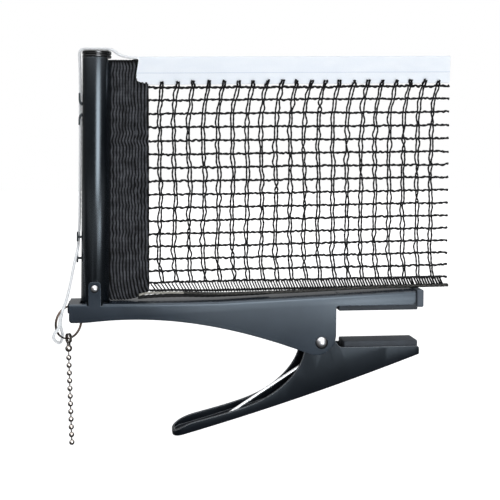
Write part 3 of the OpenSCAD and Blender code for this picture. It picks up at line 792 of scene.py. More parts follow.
post = start("post_tube_slotted", bpy.ops.mesh.primitive_cylinder_add, vertices=96, radius=post_r / 1000,
             depth=(tube_top - post_foot) / 1000, end_fill_type="NOTHING",
             location=at(post_out, 0, (tube_top + post_foot) / 2))
bpy.ops.mesh.subdivide(number_cuts=1)
thicken(post, post_wall / 1000, -1)
done(post, 0)
slot = cube("slot_saw", (post_out + 8.5, 0, 89), (12, 3, 160))
cut(post, done(slot, 0))
# The mouth's shoulder is cut off at the slot, where the sleeve is fed in
saw_line = [(post_out + 5.6, tube_top), (post_out + 10, tube_top - 4.6), (post_out + 10, tube_top)]
above_it = [(post_out + 10, tube_top + 2), (post_out + 5.6, tube_top + 2)]
cut(post, done(slab("mouth_saw", saw_line[:2] + above_it, -15, 30), 0))
drilled(post, (post_out, rivet_z), rivet_hole)
soften(post, 0.00018, 2, 50)
lean_over(post)
done(post, 40)
post_paint = coated("post_satin_black", (0.0022, 0.0032, 0.0048), (0.12, 0.125, 0.13),
                    1100, 0.35, 0.235, 0.00002, 1.0)
cover(post, post_paint)
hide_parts("post_tube")
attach(post, "bracket")


# ---- Post cap ----
# A moulded black plastic cap pressed into the top of the tube, with a groove round its rim.
# Turned here from half of its outline, with the short plug that grips the tube.

cap = turned("post_cap_moulded", [
    (0, 144), (6.4, 144), (7.0, 144.6), (7.0, 151.45), (7.9, 151.45), (8.35, 151.5), (8.5, 151.62),
    (8.6, 151.85), (8.6, 152.5), (8.5, 152.75), (8.3, 152.88), (8.02, 152.98), (8.0, 153.25), (8.3, 153.35),
    (8.5, 153.5), (8.6, 153.75), (8.6, 154.75), (8.5, 155.1), (8.25, 155.36), (7.9, 155.46), (7.4, 155.5),
    (0, 155.5)], at(post_out, 0, 0), (0, 0, 1), 96)
room = start("rod_room", bpy.ops.mesh.primitive_cylinder_add, vertices=32, radius=0.003, depth=0.010,
             location=at(post_out + 4.3, 0, 145.4))
cut(cap, done(room, 0))
room = cube("net_room", (post_out + 6, 0, 146.35), (12, 3, 10))
cut(cap, done(room, 0))
cut(cap, done(slab("mouth_saw", saw_line, -15, 30), 0))
lean_over(cap)
done(cap, 30)
cap_plastic = moulded("cap_plastic", (0.0015, 0.002, 0.003), 3200, 0.20, 0.00002, 0.9)
cover(cap, cap_plastic)
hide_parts("post_cap")
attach(cap, "bracket")


# ---- Post rivet ----
# A smaller zinc rivet, made like the pivot's with a domed head on each side.
# It goes through both tabs and the post tube.

pin = riveted("post_rivet_domed", (post_out, rivet_z), domed_head(2.3, 1.6, 0.25), 1.5, 40, 24)
cover(pin, rivet_zinc)
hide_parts("post_rivet")
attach(pin, "bracket")


# ---- Cleats ----
# Small pressed steel hooks welded to the post's outer side, which the cord is drawn round.
# The two upper hooks face each other; the two lower ones are short bars on stubs.

cleat_black = coated("cleat_black", (0.009, 0.009, 0.010), (0.25, 0.25, 0.26), 1800, 0.8, 0.38, 0.00003)
for name in ("cord_cleat_upper", "cord_cleat_lower"):
    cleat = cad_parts[name]
    cover(cleat, cleat_black)
    weld = cleat.modifiers.new("weld", "WELD")
    weld.merge_threshold = 0.00001
    edges = cleat.modifiers.new("bevel", "BEVEL")
    edges.width, edges.segments = 0.00015, 2
    edges.limit_method, edges.angle_limit = "ANGLE", math.radians(50)


# ---- Net rod ----
# A drawn steel rod in the sleeve's loop, which keeps the net's end
# inside the slotted post. The solid itself is shown, with its own finish.

rod_steel = bare_metal("rod_steel", (0.50, 0.51, 0.53), (0.25, 0.24, 0.23), 0.35, 0.6, 0.00003)
cover(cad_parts["net_rod"], rod_steel)


# ---- Net sleeve ----
# Black ribbed knit, sewn double at the net's end. It slips into the post's slot round the rod,
# and its corner is cut away where the tape's end lies.

sleeve_right, sleeve_top = -112.2, 150.4
knit_left = -136.1
corner_left, corner_right, corner_low, corner_high = -120.1, -116.6, 137.3, 141.4
corner_curve = bend((corner_right, corner_low), (-119, 137.4), (corner_left, 138.4),
                    (corner_left, corner_high), 16)
foot_curve = bend((-129, 7.6), (-122, 7.6), (-118, 9.2), (sleeve_right, 13), 24)


def portion(value):
    """A value kept between nought and one."""
    return min(1.0, max(0.0, value))


def fabric(name, points, wide, layer_name, uv):
    """A sheet through rows of points, each row so many points wide, with its own UV map."""
    mesh = bpy.data.meshes.new(name)
    mesh.from_pydata(points, [], [(a, a + wide, a + wide + 1, a + 1) for row in range(0, len(points) - wide, wide)
                                  for a in range(row, row + wide - 1)])
    layer = mesh.uv_layers.new(name=layer_name)
    for loop in mesh.loops:
        layer.data[loop.index].uv = uv[loop.vertex_index]
    made = bpy.data.objects.new(name, mesh)
    bpy.context.collection.objects.link(made)
    return made


def between(curve, x):
    """Height of a curve, given as (x, z) pairs with x in order, at x."""
    for (a, za), (b, zb) in zip(curve, curve[1:]):
        if a <= x <= b:
            return za + (zb - za) * (x - a) / (b - a)
    return curve[0][1] if x < curve[0][0] else curve[-1][1]


def sleeve_head(x):
    """Upper edge of the knit at x: straight by the post, cut away under the tape's end."""
    if x < corner_left:
        return sleeve_top + 0.5 * math.exp(-((x + 121) / 1.6) ** 2)
    return between(sorted(corner_curve), x) if x < corner_right else corner_low


def sleeve_foot(x):
    return between([(knit_left - 3, 7.6), *foot_curve], x)


knit_right = sleeve_right - 0.5
rib_pitch = (knit_right - knit_left) / 12
rows_up = 120
columns = [knit_left - 2.4 + i * 0.24 for i in range(11)]
columns += [knit_left + (knit_right - knit_left) * i / 108 for i in range(1, 109)]
knit_points, knit_uv = [], []
for x in columns:
    low, high = sleeve_foot(x), sleeve_head(x)
    for z in (low + (high - low) * j / rows_up for j in range(rows_up + 1)):
        # The ribs wander a little, and lean over near the foot where the cord draws the hem in
        pulled = 3.4 * math.exp(-max(0.0, z - low) / 7)
        wander = 0.5 * noise.noise(Vector((x * 0.07, z * 0.10, 3.0)))
        wander += 0.9 * noise.noise(Vector((x * 0.06, z * 0.20, 7.0)))
        across = x - knit_left - pulled + wander
        depth = 0.26 * portion((x - knit_left + 0.4) / 1.2) * min(1.0, 0.35 + (knit_right - x) / 1.5)
        depth *= min(1.0, 0.05 + (high - z) / 3)
        rib = -depth * math.sin(2 * math.pi * across / rib_pitch)
        rib += 0.10 * noise.noise(Vector((x * 0.5, z * 0.35, 9.0)))
        # By the post the knit keeps to the leaning slot
        moved = (z - rivet_z) * math.tan(post_lean) * portion((-122 - x) / 14.1)
        # Beside the tape's end the knit's edge stands off to the right at the top
        if x < corner_left:
            moved += 1.5 * portion((z - corner_high) / 9) * portion((x + 126) / 5.8)
        knit_points.append(at(x + moved, rib, z))
        knit_uv.append((across / rib_pitch, z / 0.85))
sleeve = fabric("knitted_sleeve", knit_points, rows_up + 1, "knit", knit_uv)
modify(sleeve, "SOLIDIFY", thickness=0.0017, offset=0, use_even_offset=False)
done(sleeve, 60)

knit, tree = new_finish("ribbed_knit")
place = put(tree, "SeparateXYZ", {0: put(tree, "UVMap", uv_map="knit")})
# Each stitch is a V: two arms that lean towards each other, two to a rib and 0.85 mm high
across = maths(tree, "MULTIPLY", place.outputs["X"], 2.0)
arm = maths(tree, "PINGPONG", across, 0.5)
slant = maths(tree, "MULTIPLY_ADD", arm, 1.3, place.outputs["Y"])
ridge = maths(tree, "PINGPONG", maths(tree, "ADD", place.outputs["X"], 0.25), 0.5)
crown = maths(tree, "MULTIPLY", maths(tree, "PINGPONG", slant, 0.5), 2.0)
off_arm = maths(tree, "ABSOLUTE", maths(tree, "SUBTRACT", arm, 0.25))
round_arm = ramp(tree, off_arm, 0.25, 0.05, 0.0, 1.0)
loops = maths(tree, "MULTIPLY", crown, round_arm)
spot = where(tree)
fuzz = grains(tree, spot, 4200.0, 4.0, 0.7)
patch = grains(tree, spot, 240.0, 3.0)
tall = maths(tree, "MULTIPLY_ADD", fuzz, 0.5, loops)
lit_yarn = ramp(tree, tall, 0.15, 1.1, 0.0, 1.0)
black = mixed(tree, lit_yarn, (0.003, 0.003, 0.0035, 1), (0.019, 0.020, 0.022, 1))
# The top of each rib is painted lighter, a painted highlight where the crests catch the light
crest_highlight = ramp(tree, ridge, 0.36, 0.48, 0.22, 8.5)
faded = ramp(tree, patch, 0.3, 0.7, 0.5, 1.5)
hemmed = ramp(tree, place.outputs["Y"], 174.0, 175.6, 1.0, 0.2)
crest_highlight_and_tone = maths(tree, "MULTIPLY", maths(tree, "MULTIPLY", crest_highlight, faded), hemmed)
cloth = scaled(tree, black, crest_highlight_and_tone)
matt = ramp(tree, fuzz, 0.3, 0.7, 0.72, 0.95)
bump = put(tree, "Bump", {"Height": tall, "Strength": 0.7, "Distance": 0.00025})
skinned(tree, {
    "Base Color": cloth, "Roughness": matt, "Normal": bump,
    "Specular IOR Level": 0.12, "Sheen Weight": 0.04, "Sheen Roughness": 0.45})
cover(sleeve, knit)
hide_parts("net_sleeve")
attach(sleeve, "bracket")


# ---- Net tape ----
# A strip of white woven tape folded over the net's head cord and stitched along its lower edge.
# Its end is closed round and lies over the sleeve's corner.

net_rise = math.radians(0.5)
net_end = 71.0


def net_point(x, y, z):
    """A point of the net, by its height while level: the net turns up a little from the sleeve's foot."""
    along = (x - sleeve_right + z * math.sin(net_rise)) / math.cos(net_rise)
    return at(x, y, along * math.sin(net_rise) + z * math.cos(net_rise))


tape_top, tape_foot, fold_r = 152.5, 136.0, 1.3
fold_h = fold_r / (tape_top - tape_foot)
section = [(-0.78, 0.0), (-0.86, 0.10), (-0.92, 0.24), (-1.0, 0.40), (-1.1, 0.58), (-1.2, 0.76), (-1.28, 0.88)]
section += [(fold_r * math.cos(math.radians(a)), 1 - fold_h + fold_h * math.sin(math.radians(a)))
            for a in range(180, -1, -20)]
section += [(-y, h) for y, h in section[6::-1]]


def tape_left(z):
    """Where the tape's end stands at a height: rounded at its lower corner."""
    if z > corner_high:
        return -119.9 + 1.5 * min(1.0, (z - corner_high) / 9)
    if z < 137.5:
        return -112.6 - 4.2 * max(0.0, (z - tape_foot) / 1.5)
    curve = sorted((b, a) for a, b in corner_curve)
    return max(-119.9, between(curve, z) + 0.15)


girth = [0.0]
for (ya, ha), (yb, hb) in zip(section, section[1:]):
    girth.append(girth[-1] + math.hypot(yb - ya, (hb - ha) * (tape_top - tape_foot)) / 1000)
tape_points, tape_uv, tape_steps = [], [], 260
for t in (i / tape_steps for i in range(tape_steps + 1)):
    for (y, h), round_it in zip(section, girth):
        z = tape_foot + (tape_top - tape_foot) * h
        left = tape_left(z)
        x = left + (net_end - left) * t
        slack = 0.10 * noise.noise(Vector((x * 0.045, h * 1.2, 5.0)))
        slack += 0.05 * noise.noise(Vector((x * 0.2, h * 3, 8.0)))
        crimp = 0.16 * math.exp(-((h - 0.25) / 0.05) ** 2)
        waved = 0.06 * noise.noise(Vector((x * 0.11, 0, 4.0)))
        tape_points.append(net_point(x, y * (1 - crimp) + slack * (0.5 + 0.5 * (1 - h)), z + waved))
        tape_uv.append((x / 1000, round_it))
tape = fabric("folded_tape", tape_points, len(section), "weave", tape_uv)
thicken(tape, 0.00045, -1)
done(tape, 60)

weave, given, out = shader_group(
    "plain_weave", [("Across", "Float"), ("Along", "Float"), ("Thread", "Float")],
    [("Height", "Float"), ("Gap", "Float")])
warp = maths(weave, "MULTIPLY", maths(weave, "DIVIDE", given["Along"], given["Thread"]), math.pi)
weft = maths(weave, "MULTIPLY", maths(weave, "DIVIDE", given["Across"], given["Thread"]), math.pi)
over = maths(weave, "MULTIPLY", maths(weave, "SINE", warp), maths(weave, "SINE", weft))
raised_thread = maths(weave, "ABSOLUTE", over)
gap = ramp(weave, raised_thread, 0.0, 0.18, 1.0, 0.0)
feed(weave, out, {"Height": raised_thread, "Gap": gap})

tape_cloth, tree = new_finish("white_woven_tape")
place = put(tree, "SeparateXYZ", {0: put(tree, "UVMap", uv_map="weave")})
thread_w = 0.00042
woven = put(tree, "Group", {
    "Across": place.outputs["Y"], "Along": place.outputs["X"], "Thread": thread_w}, node_tree=weave)
spot = where(tree)
longways = put(tree, "Mapping", {"Vector": spot, "Scale": (0.35, 1, 1)})
cloudy = grains(tree, longways, 160.0, 4.0)
half_girth, seam_in, stitch_w = girth[-1] / 2, 0.0105, 0.0026
from_fold = maths(tree, "ABSOLUTE", maths(tree, "SUBTRACT", place.outputs["Y"], half_girth))
seam_off = maths(tree, "ABSOLUTE", maths(tree, "SUBTRACT", from_fold, seam_in))
seam = ramp(tree, seam_off, 0.00032, 0.0001, 0.0, 1.0)
run = maths(tree, "PINGPONG", maths(tree, "MULTIPLY", place.outputs["X"], 1 / stitch_w), 0.5)
stitch = ramp(tree, run, 0.08, 0.16, 0.0, 1.0)
dip = maths(tree, "MULTIPLY", seam, stitch)
tinted = mixed(tree, cloudy, (0.80, 0.84, 0.90, 1), (0.93, 0.95, 0.97, 1))
gapped = mixed(tree, maths(tree, "MULTIPLY", woven.outputs["Gap"], 0.25), tinted, (0.62, 0.66, 0.74, 1))
sewn = mixed(tree, maths(tree, "MULTIPLY", seam, 0.7), gapped, (0.60, 0.66, 0.76, 1))
relief = maths(tree, "MULTIPLY_ADD", dip, 1.2, woven.outputs["Height"])
bump = put(tree, "Bump", {"Height": relief, "Strength": 0.45, "Distance": 0.00012})
matt = ramp(tree, cloudy, 0.3, 0.7, 0.7, 0.9)
skinned(tree, {
    "Base Color": sewn, "Roughness": matt, "Normal": bump,
    "Specular IOR Level": 0.3, "Sheen Weight": 0.15})
cover(tape, tape_cloth)
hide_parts("net_tape")
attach(tape, "bracket")


# ---- Net ----
# Black knitted netting. Each level cord is one thick twisted yarn; each upright is a pair of
# thinner yarns that are caught under every level cord and bow apart between them.

cell_w, first_cell, mesh_top = 8.77, 0.64, 134.3
mesh_columns, mesh_rows = 20, 15


def row_height(j, x):
    """Height of a level cord on the level net: the lowest rows draw together, most of all by the sleeve."""
    far = portion((x + 45) / 90)
    by_sleeve, further_in = 8.08 * j - 3.9 * (max(0, j) / 15) ** 5, 8.21 * j - 0.023 * j * j
    return mesh_top + (0.5 if j else -0.2) - (1 - far) * by_sleeve - far * further_in


def column_x(i, j):
    """Where an upright pair crosses a level cord: the tape draws the top rows along, away from the post."""
    drawn = (4.2, 3.5, 1.75, 0.5, 0.15)[j + 1] if j < 4 else 0.0
    belly = 1.2 * math.exp(-((j - 7.5) / 2.5) ** 2) * (1 - i / 20) + 0.9 * max(0, j - 13)
    return sleeve_right + (i - 1 + first_cell) * cell_w + drawn * min(1.0, 0.3 + i / 6) + belly


def stray(*seed):
    """A steady wander between about -1 and 1, from up to three numbers."""
    return noise.noise(Vector([s * 1.37 + 0.5 for s in (*seed, 0, 0)[:3]])) * 1.6


def twist(r, pitch, strands, depth):
    """Radius of a twisted cord, whose strands all wind one way."""
    turn = 2 * math.pi / pitch
    return lambda s, a: r * (1 - depth + depth * math.cos(strands * a - turn * s))


def wind(route, sides, *lay):
    """Adds a twisted yarn to the spool, its twist counted from the net's plane."""
    spool.lay(route, twist(*lay), sides, up=(0, 1, 0))


spool = Spool()
for j in range(mesh_rows + 1):
    route = []
    steps = int((net_end - sleeve_right + 0.8) / 0.5)
    for i in range(steps + 1):
        x = sleeve_right - 0.4 + (net_end - sleeve_right + 0.4) * i / steps
        sag = 0.20 * stray(x * 0.06, j * 2.3, 1) + 0.40 * stray(x * 0.50, j * 5.1, 2)
        route.append(net_point(x, 0.16 * stray(x * 0.3, j * 3.1, 4), row_height(j, x) + sag))
    thick = 0.00090 if j == 0 else 0.00081
    wind(route, 8, thick, 0.0040, 2, 0.17)
level_cords = spool.piece("net_level_cords")

spool = Spool()
for i in range(1, mesh_columns + 1):
    if column_x(i, 5) > net_end - 1.6:
        continue
    for side in (-1, 1):
        route = []
        top = 137.8 + 0.6 * stray(i, side, 3)
        pinched = 0.30 + 0.35 * abs(stray(i * 3.1, 2, 6))
        for j in range(-1, mesh_rows):
            xa, xb = (column_x(i, k) + 0.42 * stray(i * 1.9, k * 1.3, 11) for k in (j, j + 1))
            high = row_height(j, xa) if j >= 0 else top
            low = row_height(j + 1, xb)
            bulge = 0.12 + 0.55 * max(0.0, stray(i * 2.1, j * 4.3, 7)) + 0.22 * stray(i, j, 9)
            sway = 0.65 * stray(i * 2.7, j * 3.3, 13)
            kink = 0.45 * stray(i * 4.7, j * 2.3, side * 3)
            crossed = stray(i * 5.3, j * 1.7, 15) > 0.55 and j >= 0
            for n in range(8 if j < mesh_rows - 1 else 9):
                t = n / 8
                mid = math.sin(math.pi * t)
                x = xa + (xb - xa) * t + sway * mid * (0.3 if j < 0 else 1) + kink * math.sin(2 * math.pi * t)
                half_gap = 0.70 + bulge * mid if j >= 0 else pinched + (0.70 - pinched) * t + 0.05 * mid
                x += side * half_gap * (math.cos(math.pi * t) if crossed else 1)
                y = -0.15 - 0.38 * math.cos(2 * math.pi * t) * (1 if (i + j + (side > 0)) % 2 else -0.4)
                if j < 0:
                    y = -1.45 + 0.9 * t * t
                route.append(net_point(x, y, high + (low - high) * t))
        wind(route, 6, 0.00059, 0.0030, 2, 0.12)
        # Where it is caught in the tape's edge the yarn is doubled
        doubled = [p + Vector((side * 0.0001, -0.0002, 0.0002)) for p in route[:8]]
        wind(doubled, 6, 0.00066, 0.0030, 2, 0.12)
upright_cords = spool.piece("net_upright_cords")
net_yarn = yarn_finish("black_net_yarn", (0.004, 0.004, 0.005), (0.001, 0.001, 0.0015),
                       800, 2, 0.8, 0.00008, 0.0)
for cords in (level_cords, upright_cords):
    cover(cords, net_yarn)
    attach(cords, "bracket")
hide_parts("net_mesh")


# ---- Net hem ----
# The lowest level cord and a black rope under it, lashed together by one long yarn that runs
# slantwise from one to the other. A second rope comes up to them from under the sleeve.

hem_top, rope_z, rope_step = 16.4, 11.9, 0.0005


def rope_height(x):
    """The rope's height on the level net: it is drawn up a little beside the sleeve."""
    return rope_z + 0.85 / (1 + math.exp((x + 88) / 4.5))


spool = Spool()
steps = int((net_end - sleeve_right) / 0.5)
rope_route = []
for i in range(steps + 1):
    x = sleeve_right - 0.3 + (net_end - sleeve_right + 0.3) * i / steps
    rope_route.append(net_point(x, 0.1 * stray(i * 0.11, 3, 3), rope_height(x) + 0.12 * stray(i * 0.05, 1, 2)))
wind(rope_route, 12, 0.00078, 0.0030, 3, 0.12)
under_route = smooth_route([at(*p) for p in (
    (-119.6, -0.9, 8.9), (-113, -0.9, 9.3), (-106, -0.9, 9.6), (-92, -0.9, 9.7), (-78, -0.7, 9.3),
    (-64, -0.3, 9.5), (-50, 0, 9.9), (-40, 0, 10.3))], rope_step)
wind(under_route, 12, 0.00116, 0.0034, 3, 0.10)
hem_rope = spool.piece("hem_rope")

spool = Spool()
x, n = sleeve_right + 0.5, 0
while x < net_end - 3.2:
    # The lashing is loose and uneven by the sleeve, and closer and steadier further in
    loose = 1 / (1 + math.exp((x + 88) / 6))
    pitch = 1.62 + 0.45 * loose + (0.08 + 0.35 * loose) * stray(n * 2.3, 4, 2)
    lean = 2.2 + 0.5 * loose + 0.35 * stray(n * 1.7, 5, 1)
    high, low = hem_top + 0.5, rope_height(x + lean)
    drop = high - low
    front = [(0, -0.1, 0.7), (0.1, -0.75, 0.25), (0.25, -0.85, -0.5), (lean * 0.5, -0.9, -drop * 0.5),
             (lean * 0.9, -1.0, -drop * 0.86), (lean, -1.05, -drop - 0.2), (lean + 0.1, -0.5, -drop - 0.95)]
    behind = [(lean + 0.1, 0.5, -drop - 0.95), (lean, 1.05, -drop), (lean * 0.5, 0.9, -drop * 0.5),
              (0.2, 0.8, -0.3), (pitch * 0.5, 0.5, 0.4), (pitch, 0.1, 0.7)]
    for half, r, step in ((front, 0.00043, 0.00055), (behind, 0.00038, 0.0008)):
        route = smooth_route([net_point(x + a, y, high + b) for a, y, b in half], step)
        wind(route, 6, r, 0.0020, 2, 0.14)
    x += pitch
    n += 1
hem_lashing = spool.piece("hem_lashing")
hem_yarn = yarn_finish("black_hem_yarn", (0.016, 0.016, 0.016), (0.002, 0.002, 0.002),
                       260, 3, 0.8, 0.00015, 0.0)
cover(hem_rope, hem_yarn)
cover(hem_lashing, net_yarn)
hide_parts("net_hem")
for cords in (hem_rope, hem_lashing):
    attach(cords, "bracket")


# ---- Net bottom cord ----
# A pale twisted cord that keeps the net's foot taut. It lies bare in front of the hem by the
# sleeve, and further in it is whipped all over with black yarn.

pale_route = smooth_route([at(x, -2.35, z) for x, z in (
    (-118.8, 10.4), (-116.5, 11.1), (-112.5, 11.6), (-105, 11.7), (-96, 11.6), (-88, 11.2), (-79, 10.7),
    (-66, 10.5), (-50, 10.7), (-34, 11), (-18, 11.5), (0, 12.3), (18, 13), (36, 13.4), (54, 13.6),
    (71, 13.8))], rope_step)
bottom_cord = strand("pale_bottom_cord", pale_route, twist(0.00078, 0.0036, 3, 0.12), 12)
pale_twist = yarn_finish("pale_twisted_yarn", (0.44, 0.42, 0.37), (0.05, 0.048, 0.042),
                         278, 3, 0.85, 0.00015, 0.05)
cover(bottom_cord, pale_twist)
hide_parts("net_bottom_cord")
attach(bottom_cord, "bracket")

whip_from, whip_pitch, whip_r = -92, 0.00078, 0.00086
whip_start = next(i for i, p in enumerate(pale_route) if edge_mm(p.x) > whip_from)
whip_route = []
for i in range(whip_start, len(pale_route) - 1):
    onward = (pale_route[i + 1] - pale_route[i]).normalized()
    outward = onward.cross(Vector((0, 1, 0))).normalized()
    for k in range(5):
        a = 2 * math.pi * ((i - whip_start) + k / 5) * rope_step / whip_pitch
        core = pale_route[i].lerp(pale_route[i + 1], k / 5)
        whip_route.append(core + whip_r * (math.cos(a) * outward + math.sin(a) * onward.cross(outward)))
whipping = strand("black_whipping", whip_route, lambda s, a: 0.00031, 5)
cover(whipping, hem_yarn)
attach(whipping, "bracket")


# ---- Torsion spring ----
# Bright spring wire, 1.9 mm thick, wound round the pivot: one leg lies under the bracket's web,
# the other in the lever, and together they close the jaws.

wire_r, coil_r, coil_pitch = 0.95, 6.6, 2.6
lower_end, upper_end = (-67, -63.0), (-52, 5.2)


def touch(end, s):
    """The angle round the pivot at which a line from a leg's end touches the coil."""
    vx, vz = end[0] - pivot[0], end[1] - pivot[1]
    return math.degrees(math.atan2(vz, vx)) - s * math.degrees(math.acos(coil_r / math.hypot(vx, vz)))


lower_touch, upper_touch = touch(lower_end, -1) - 360, touch(upper_end, 1)
coil_angle = upper_touch - lower_touch + 720 + (0 if upper_touch > lower_touch else 360)
coil_w = coil_pitch * coil_angle / 360
turn_steps = int(coil_angle / 10)
coil = arc(pivot, coil_r, lower_touch, lower_touch + coil_angle, turn_steps)
coil = [at(x, coil_w * i / turn_steps - coil_w / 2, z) for i, (x, z) in enumerate(coil)]
lower_tip, upper_tip = at(lower_end[0], -5.6, lower_end[1]), at(upper_end[0], coil_w / 2, upper_end[1])
wire = [lower_tip.lerp(coil[0], i / 30) for i in range(30)] + coil
wire += [coil[-1].lerp(upper_tip, i / 12) for i in range(1, 13)]
spring = strand("torsion_spring_wire", wire, lambda s, a: wire_r / 1000, 16)
spring_wire = bare_metal("spring_wire", (0.90, 0.91, 0.92), (0.60, 0.60, 0.61), 0.30, 0.3, 0.00002)
cover(spring, spring_wire)
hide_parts("torsion_spring")
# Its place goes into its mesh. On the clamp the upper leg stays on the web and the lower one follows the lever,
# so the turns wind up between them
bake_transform(spring)


# ---- Lever ----
# A pressed channel of 1.4 mm sheet, open above: two ears on the pivot, a long curved handle
# with a rounded tip and a flat lower jaw. Painted blue-black.

lever_half, lever_sheet, lever_bend = 8.2, 1.4, 1.3
tip_x, jaw_end = -99.2, 51


def low_edge(x):
    return -45.4 + 0.333 * x + 0.00034 * x * x


lever = start("clamp_lever", bpy.ops.mesh.primitive_plane_add, size=2 * lever_half / 1000,
              location=at(jaw_end - lever_half, 0, 0))
bpy.ops.object.mode_set(mode="OBJECT")
bpy.ops.object.transform_apply(location=True, rotation=True, scale=True)
bpy.ops.object.mode_set(mode="EDIT")
pick(lambda v: edge_mm(v.co.x) < jaw_end - 1, "VERT")
bpy.ops.transform.translate(value=((tip_x - jaw_end + 2 * lever_half) / 1000, 0, 0))
pick(lambda v: edge_mm(v.co.x) < tip_x + 1, "VERT")
bpy.ops.mesh.bevel(offset=0.006, segments=10, affect="VERTICES")
for i in range(24):
    bpy.ops.mesh.select_all(action="SELECT")
    bpy.ops.mesh.bisect(plane_co=at(-92.5 + i * 6.1, 0, 0), plane_no=(1, 0, 0))
# The floor is bowed: each line of vertices across it goes down to the lever's lower edge
for x in sorted({round(v.co.x, 6) for v in bmesh.from_edit_mesh(lever.data).verts}):
    pick(lambda v: abs(v.co.x - x) < 2e-6, "VERT")
    bpy.ops.transform.translate(value=(0, 0, low_edge(edge_mm(x)) / 1000))
pick(lambda e: e.is_boundary and not all(edge_mm(v.co.x) > jaw_end - 0.1 for v in e.verts), "EDGE")
extrude((0, 0, 0.012))
extrude((0, 0, 0.060))
face_out()
# The floor runs into the walls in a tight bend, all the way round the tip
pick(lambda e: {abs(f.normal.z) > 0.8 for f in e.link_faces} == {True, False}, "EDGE")
bevel(lever_bend / 1000, 5)
thicken(lever, lever_sheet / 1000, -1)
done(lever, 0)

# The walls are trimmed to the lever's side view: jaw, ears round the pivot, and the long curve of the handle
wall_top, jaw_r = -22.2, 1.6
blank = slab("lever_blank", clean(
    [(-104, -95), (56, -95), (jaw_end, wall_top - jaw_r - 30), (jaw_end, wall_top - jaw_r)]
    + arc((jaw_end - jaw_r, wall_top - jaw_r), jaw_r, 0, 90, 4)
    + arc((4, wall_top + 4), 4, 270, 205, 6)
    + arc(pivot, 8.4, 5, 180, 24)
    + bend((-19.6, -24), (-21, -34.6), (-31.5, -47.1), (-48, -54.4), 20)
    + bend((-48, -54.4), (-58, -58.8), (-74, -62.6), (-86, -65.6), 10)
    + bend((-86, -65.6), (-91, -66.9), (-95.6, -69.6), (-98.6, -71.7), 6)
    + [(-104, -74.5)]), -12, 24)
cut(lever, done(blank, 0), "INTERSECT")
drilled(lever, pivot, pivot_hole)
soften(lever, 0.00042, 3, 50)
done(lever)
# Painted highlight and wear: the light bare colour, evened along every edge, stands in for the light on the
# lever's rims
lever_paint = coated("lever_blue_black", (0.0034, 0.0050, 0.0080), (0.50, 0.52, 0.55),
                     1300, 0.7, 0.34, 0.00003, 0.30, 0.7)
cover(lever, lever_paint)
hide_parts("lever_channel")
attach(lever, "lever")


# ---- Lower jaw pad ----
# A moulded rubber block pressed into the lever's jaw, which bears on the table from below.
# The same grey rubber as the upper pad.

lower_pad = cube("lower_jaw_block", (27.75, 0, -23), (45.5, 13.4, 8))
pick(lambda v: edge_mm(v.co.x) > 50 and v.co.z < -0.025, "VERT")
bpy.ops.transform.translate(value=(0, 0, 0.0012))
bpy.ops.mesh.select_all(action="SELECT")
bevel(0.0007, 3)
done(lower_pad)
# All of this block lies inside that finish's set-back band, so its whole colour is painted darker, as shade
cover(lower_pad, jaw_rubber)
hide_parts("lower_jaw_pad")
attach(lower_pad, "lever")


# ---- Split ring ----
# Two close turns of dark bronzed wire through the tongue's hole, whose ends can be pried apart.
# It hangs with its plane turned between the bracket's side and its end.

ring_r, ring_pitch, ring_turn = 9.7, 0.90, math.radians(42)
ring_centre = (-160.6, -0.135, -5.70)
ring_route = []
for i in range(145):
    a = math.radians(50 + 720 * i / 144)
    lx, ly = ring_r * math.cos(a), ring_pitch * (math.degrees(a) - 270) / 360
    ring_route.append(at(ring_centre[0] + lx * math.cos(ring_turn) - ly * math.sin(ring_turn),
                         ring_centre[1] + lx * math.sin(ring_turn) + ly * math.cos(ring_turn),
                         ring_centre[2] + ring_r * math.sin(a)))
ring = strand("split_ring_wire", ring_route, lambda s, a: 0.00043, 12)
ring_bronze = bare_metal("dark_ring_bronze", (0.16, 0.12, 0.10), (0.05, 0.04, 0.035), 0.30, 0.6, 0.00002)
cover(ring, ring_bronze)
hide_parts("split_ring")
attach(ring, "ring")


# ---- Chain coupling ----
# A strip of thin bronze folded over the ring, whose ends close as a cup round the first bead.
# Pressed, not welded: the strip's two legs lie together above the cup.

chain_x, chain_y, ring_low, cup_z = -161.085, 0.404, -15.398, -21.6
strap_r, strap_rise, strap_foot = 1.85, 0.9, -2.9
on_ring = Matrix.Translation(at(chain_x, chain_y, ring_low)) @ Matrix.Rotation(ring_turn, 4, "Z")
strap_line = [(0, strap_foot)] + arc((0, -strap_rise), strap_r, 262, 180, 6)
strap_line += arc((0, strap_rise), strap_r, 180, 0, 16) + arc((0, -strap_rise), strap_r, 0, -82, 6)
strap_line += [(0.05, strap_foot)]
strap = trace("coupling_strap", [Vector((-0.001, y / 1000, z / 1000)) for y, z in strap_line], closed=False)
extrude((0.002, 0, 0))
thicken(strap, 0.0005, 0)
soften(strap, 0.0001, 2, 50)
strap.data.transform(on_ring)
neck = cube("coupling_neck", (origin_in, 0, -3.6), (2, 1.4, 2.6))
bevel(0.0002, 2)
done(neck)
neck.data.transform(on_ring)
cut(strap, neck, "UNION")
cup = start("coupling_cup", bpy.ops.mesh.primitive_uv_sphere_add, segments=24, ring_count=16, radius=0.0021,
            location=at(chain_x, chain_y, cup_z))
pick(lambda f: f.calc_center_median().z < (cup_z - 1.9) / 1000)
bpy.ops.mesh.inset(thickness=0.00015)
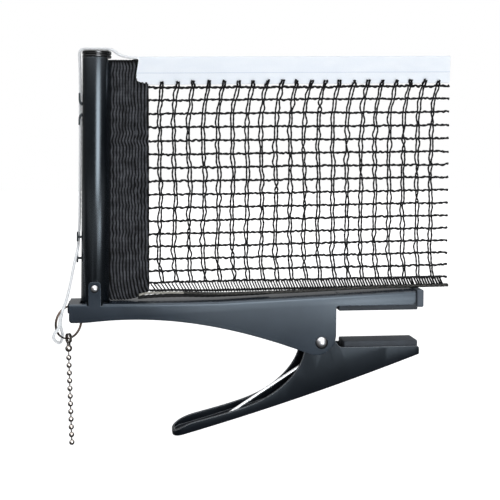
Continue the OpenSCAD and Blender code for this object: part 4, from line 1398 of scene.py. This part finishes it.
bpy.ops.transform.resize(value=(1, 1, 0.9))
cut(strap, done(cup), "UNION")
coupling = done(strap, 40)
coupling.name = "coupling_strap_and_cup"
# A strongly painted dark rim gives each bright bead a dark outline, standing in for shade and dark reflections
chain_bronze = bare_metal("dark_chain_bronze", (0.85, 0.78, 0.72), (0.36, 0.29, 0.25), 0.24, 0.5, 0.00002, 0.06)
cover(coupling, chain_bronze)
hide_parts("chain_coupling")
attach(coupling, "coupling")


# ---- Ball chain ----
# Hollow bronze beads pressed from sheet, 3.2 mm across, each crimped on the ends of short stiff links.
# One bead and its link are made once and copied down the chain.

bead_count, bead_pitch, chain_lean = 12, 4.7, math.radians(1.5)
bead = start("chain_bead", bpy.ops.mesh.primitive_uv_sphere_add, segments=20, ring_count=14, radius=0.0016)
pick(lambda f: abs(f.calc_center_median().z) > 0.00148)
bpy.ops.mesh.inset(thickness=0.00012)
bpy.ops.transform.resize(value=(1, 1, 0.93))
done(bead, 60)
cover(bead, chain_bronze)
link = start("chain_link", bpy.ops.mesh.primitive_cylinder_add, vertices=10, radius=0.0004,
             depth=bead_pitch / 1000, location=(0, 0, bead_pitch / 2000))
pick(lambda f: abs(f.normal.z) < 0.5)
bpy.ops.mesh.subdivide(number_cuts=2)
done(link, 60)
cover(link, chain_bronze)
hang = Matrix.Translation(at(chain_x, chain_y, cup_z - 5.6)) @ Matrix.Rotation(-chain_lean, 4, "Y")
pieces = []
for i in range(bead_count):
    for master in (bead, link):
        copy = bpy.data.objects.new(master.name + "_copy", master.data.copy())
        copy.data.transform(hang @ Matrix.Translation((0, 0, -i * bead_pitch / 1000)))
        bpy.context.collection.objects.link(copy)
        pieces.append(copy)
bpy.ops.object.select_all(action="DESELECT")
for copy in pieces:
    copy.select_set(True)
bpy.context.view_layer.objects.active = pieces[0]
bpy.ops.object.join()
chain = pieces[0]
chain.name = chain.data.name = "ball_chain_beads"
for master in (bead, link):
    bpy.data.objects.remove(master)
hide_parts("bead_chain")
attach(chain, "chain")
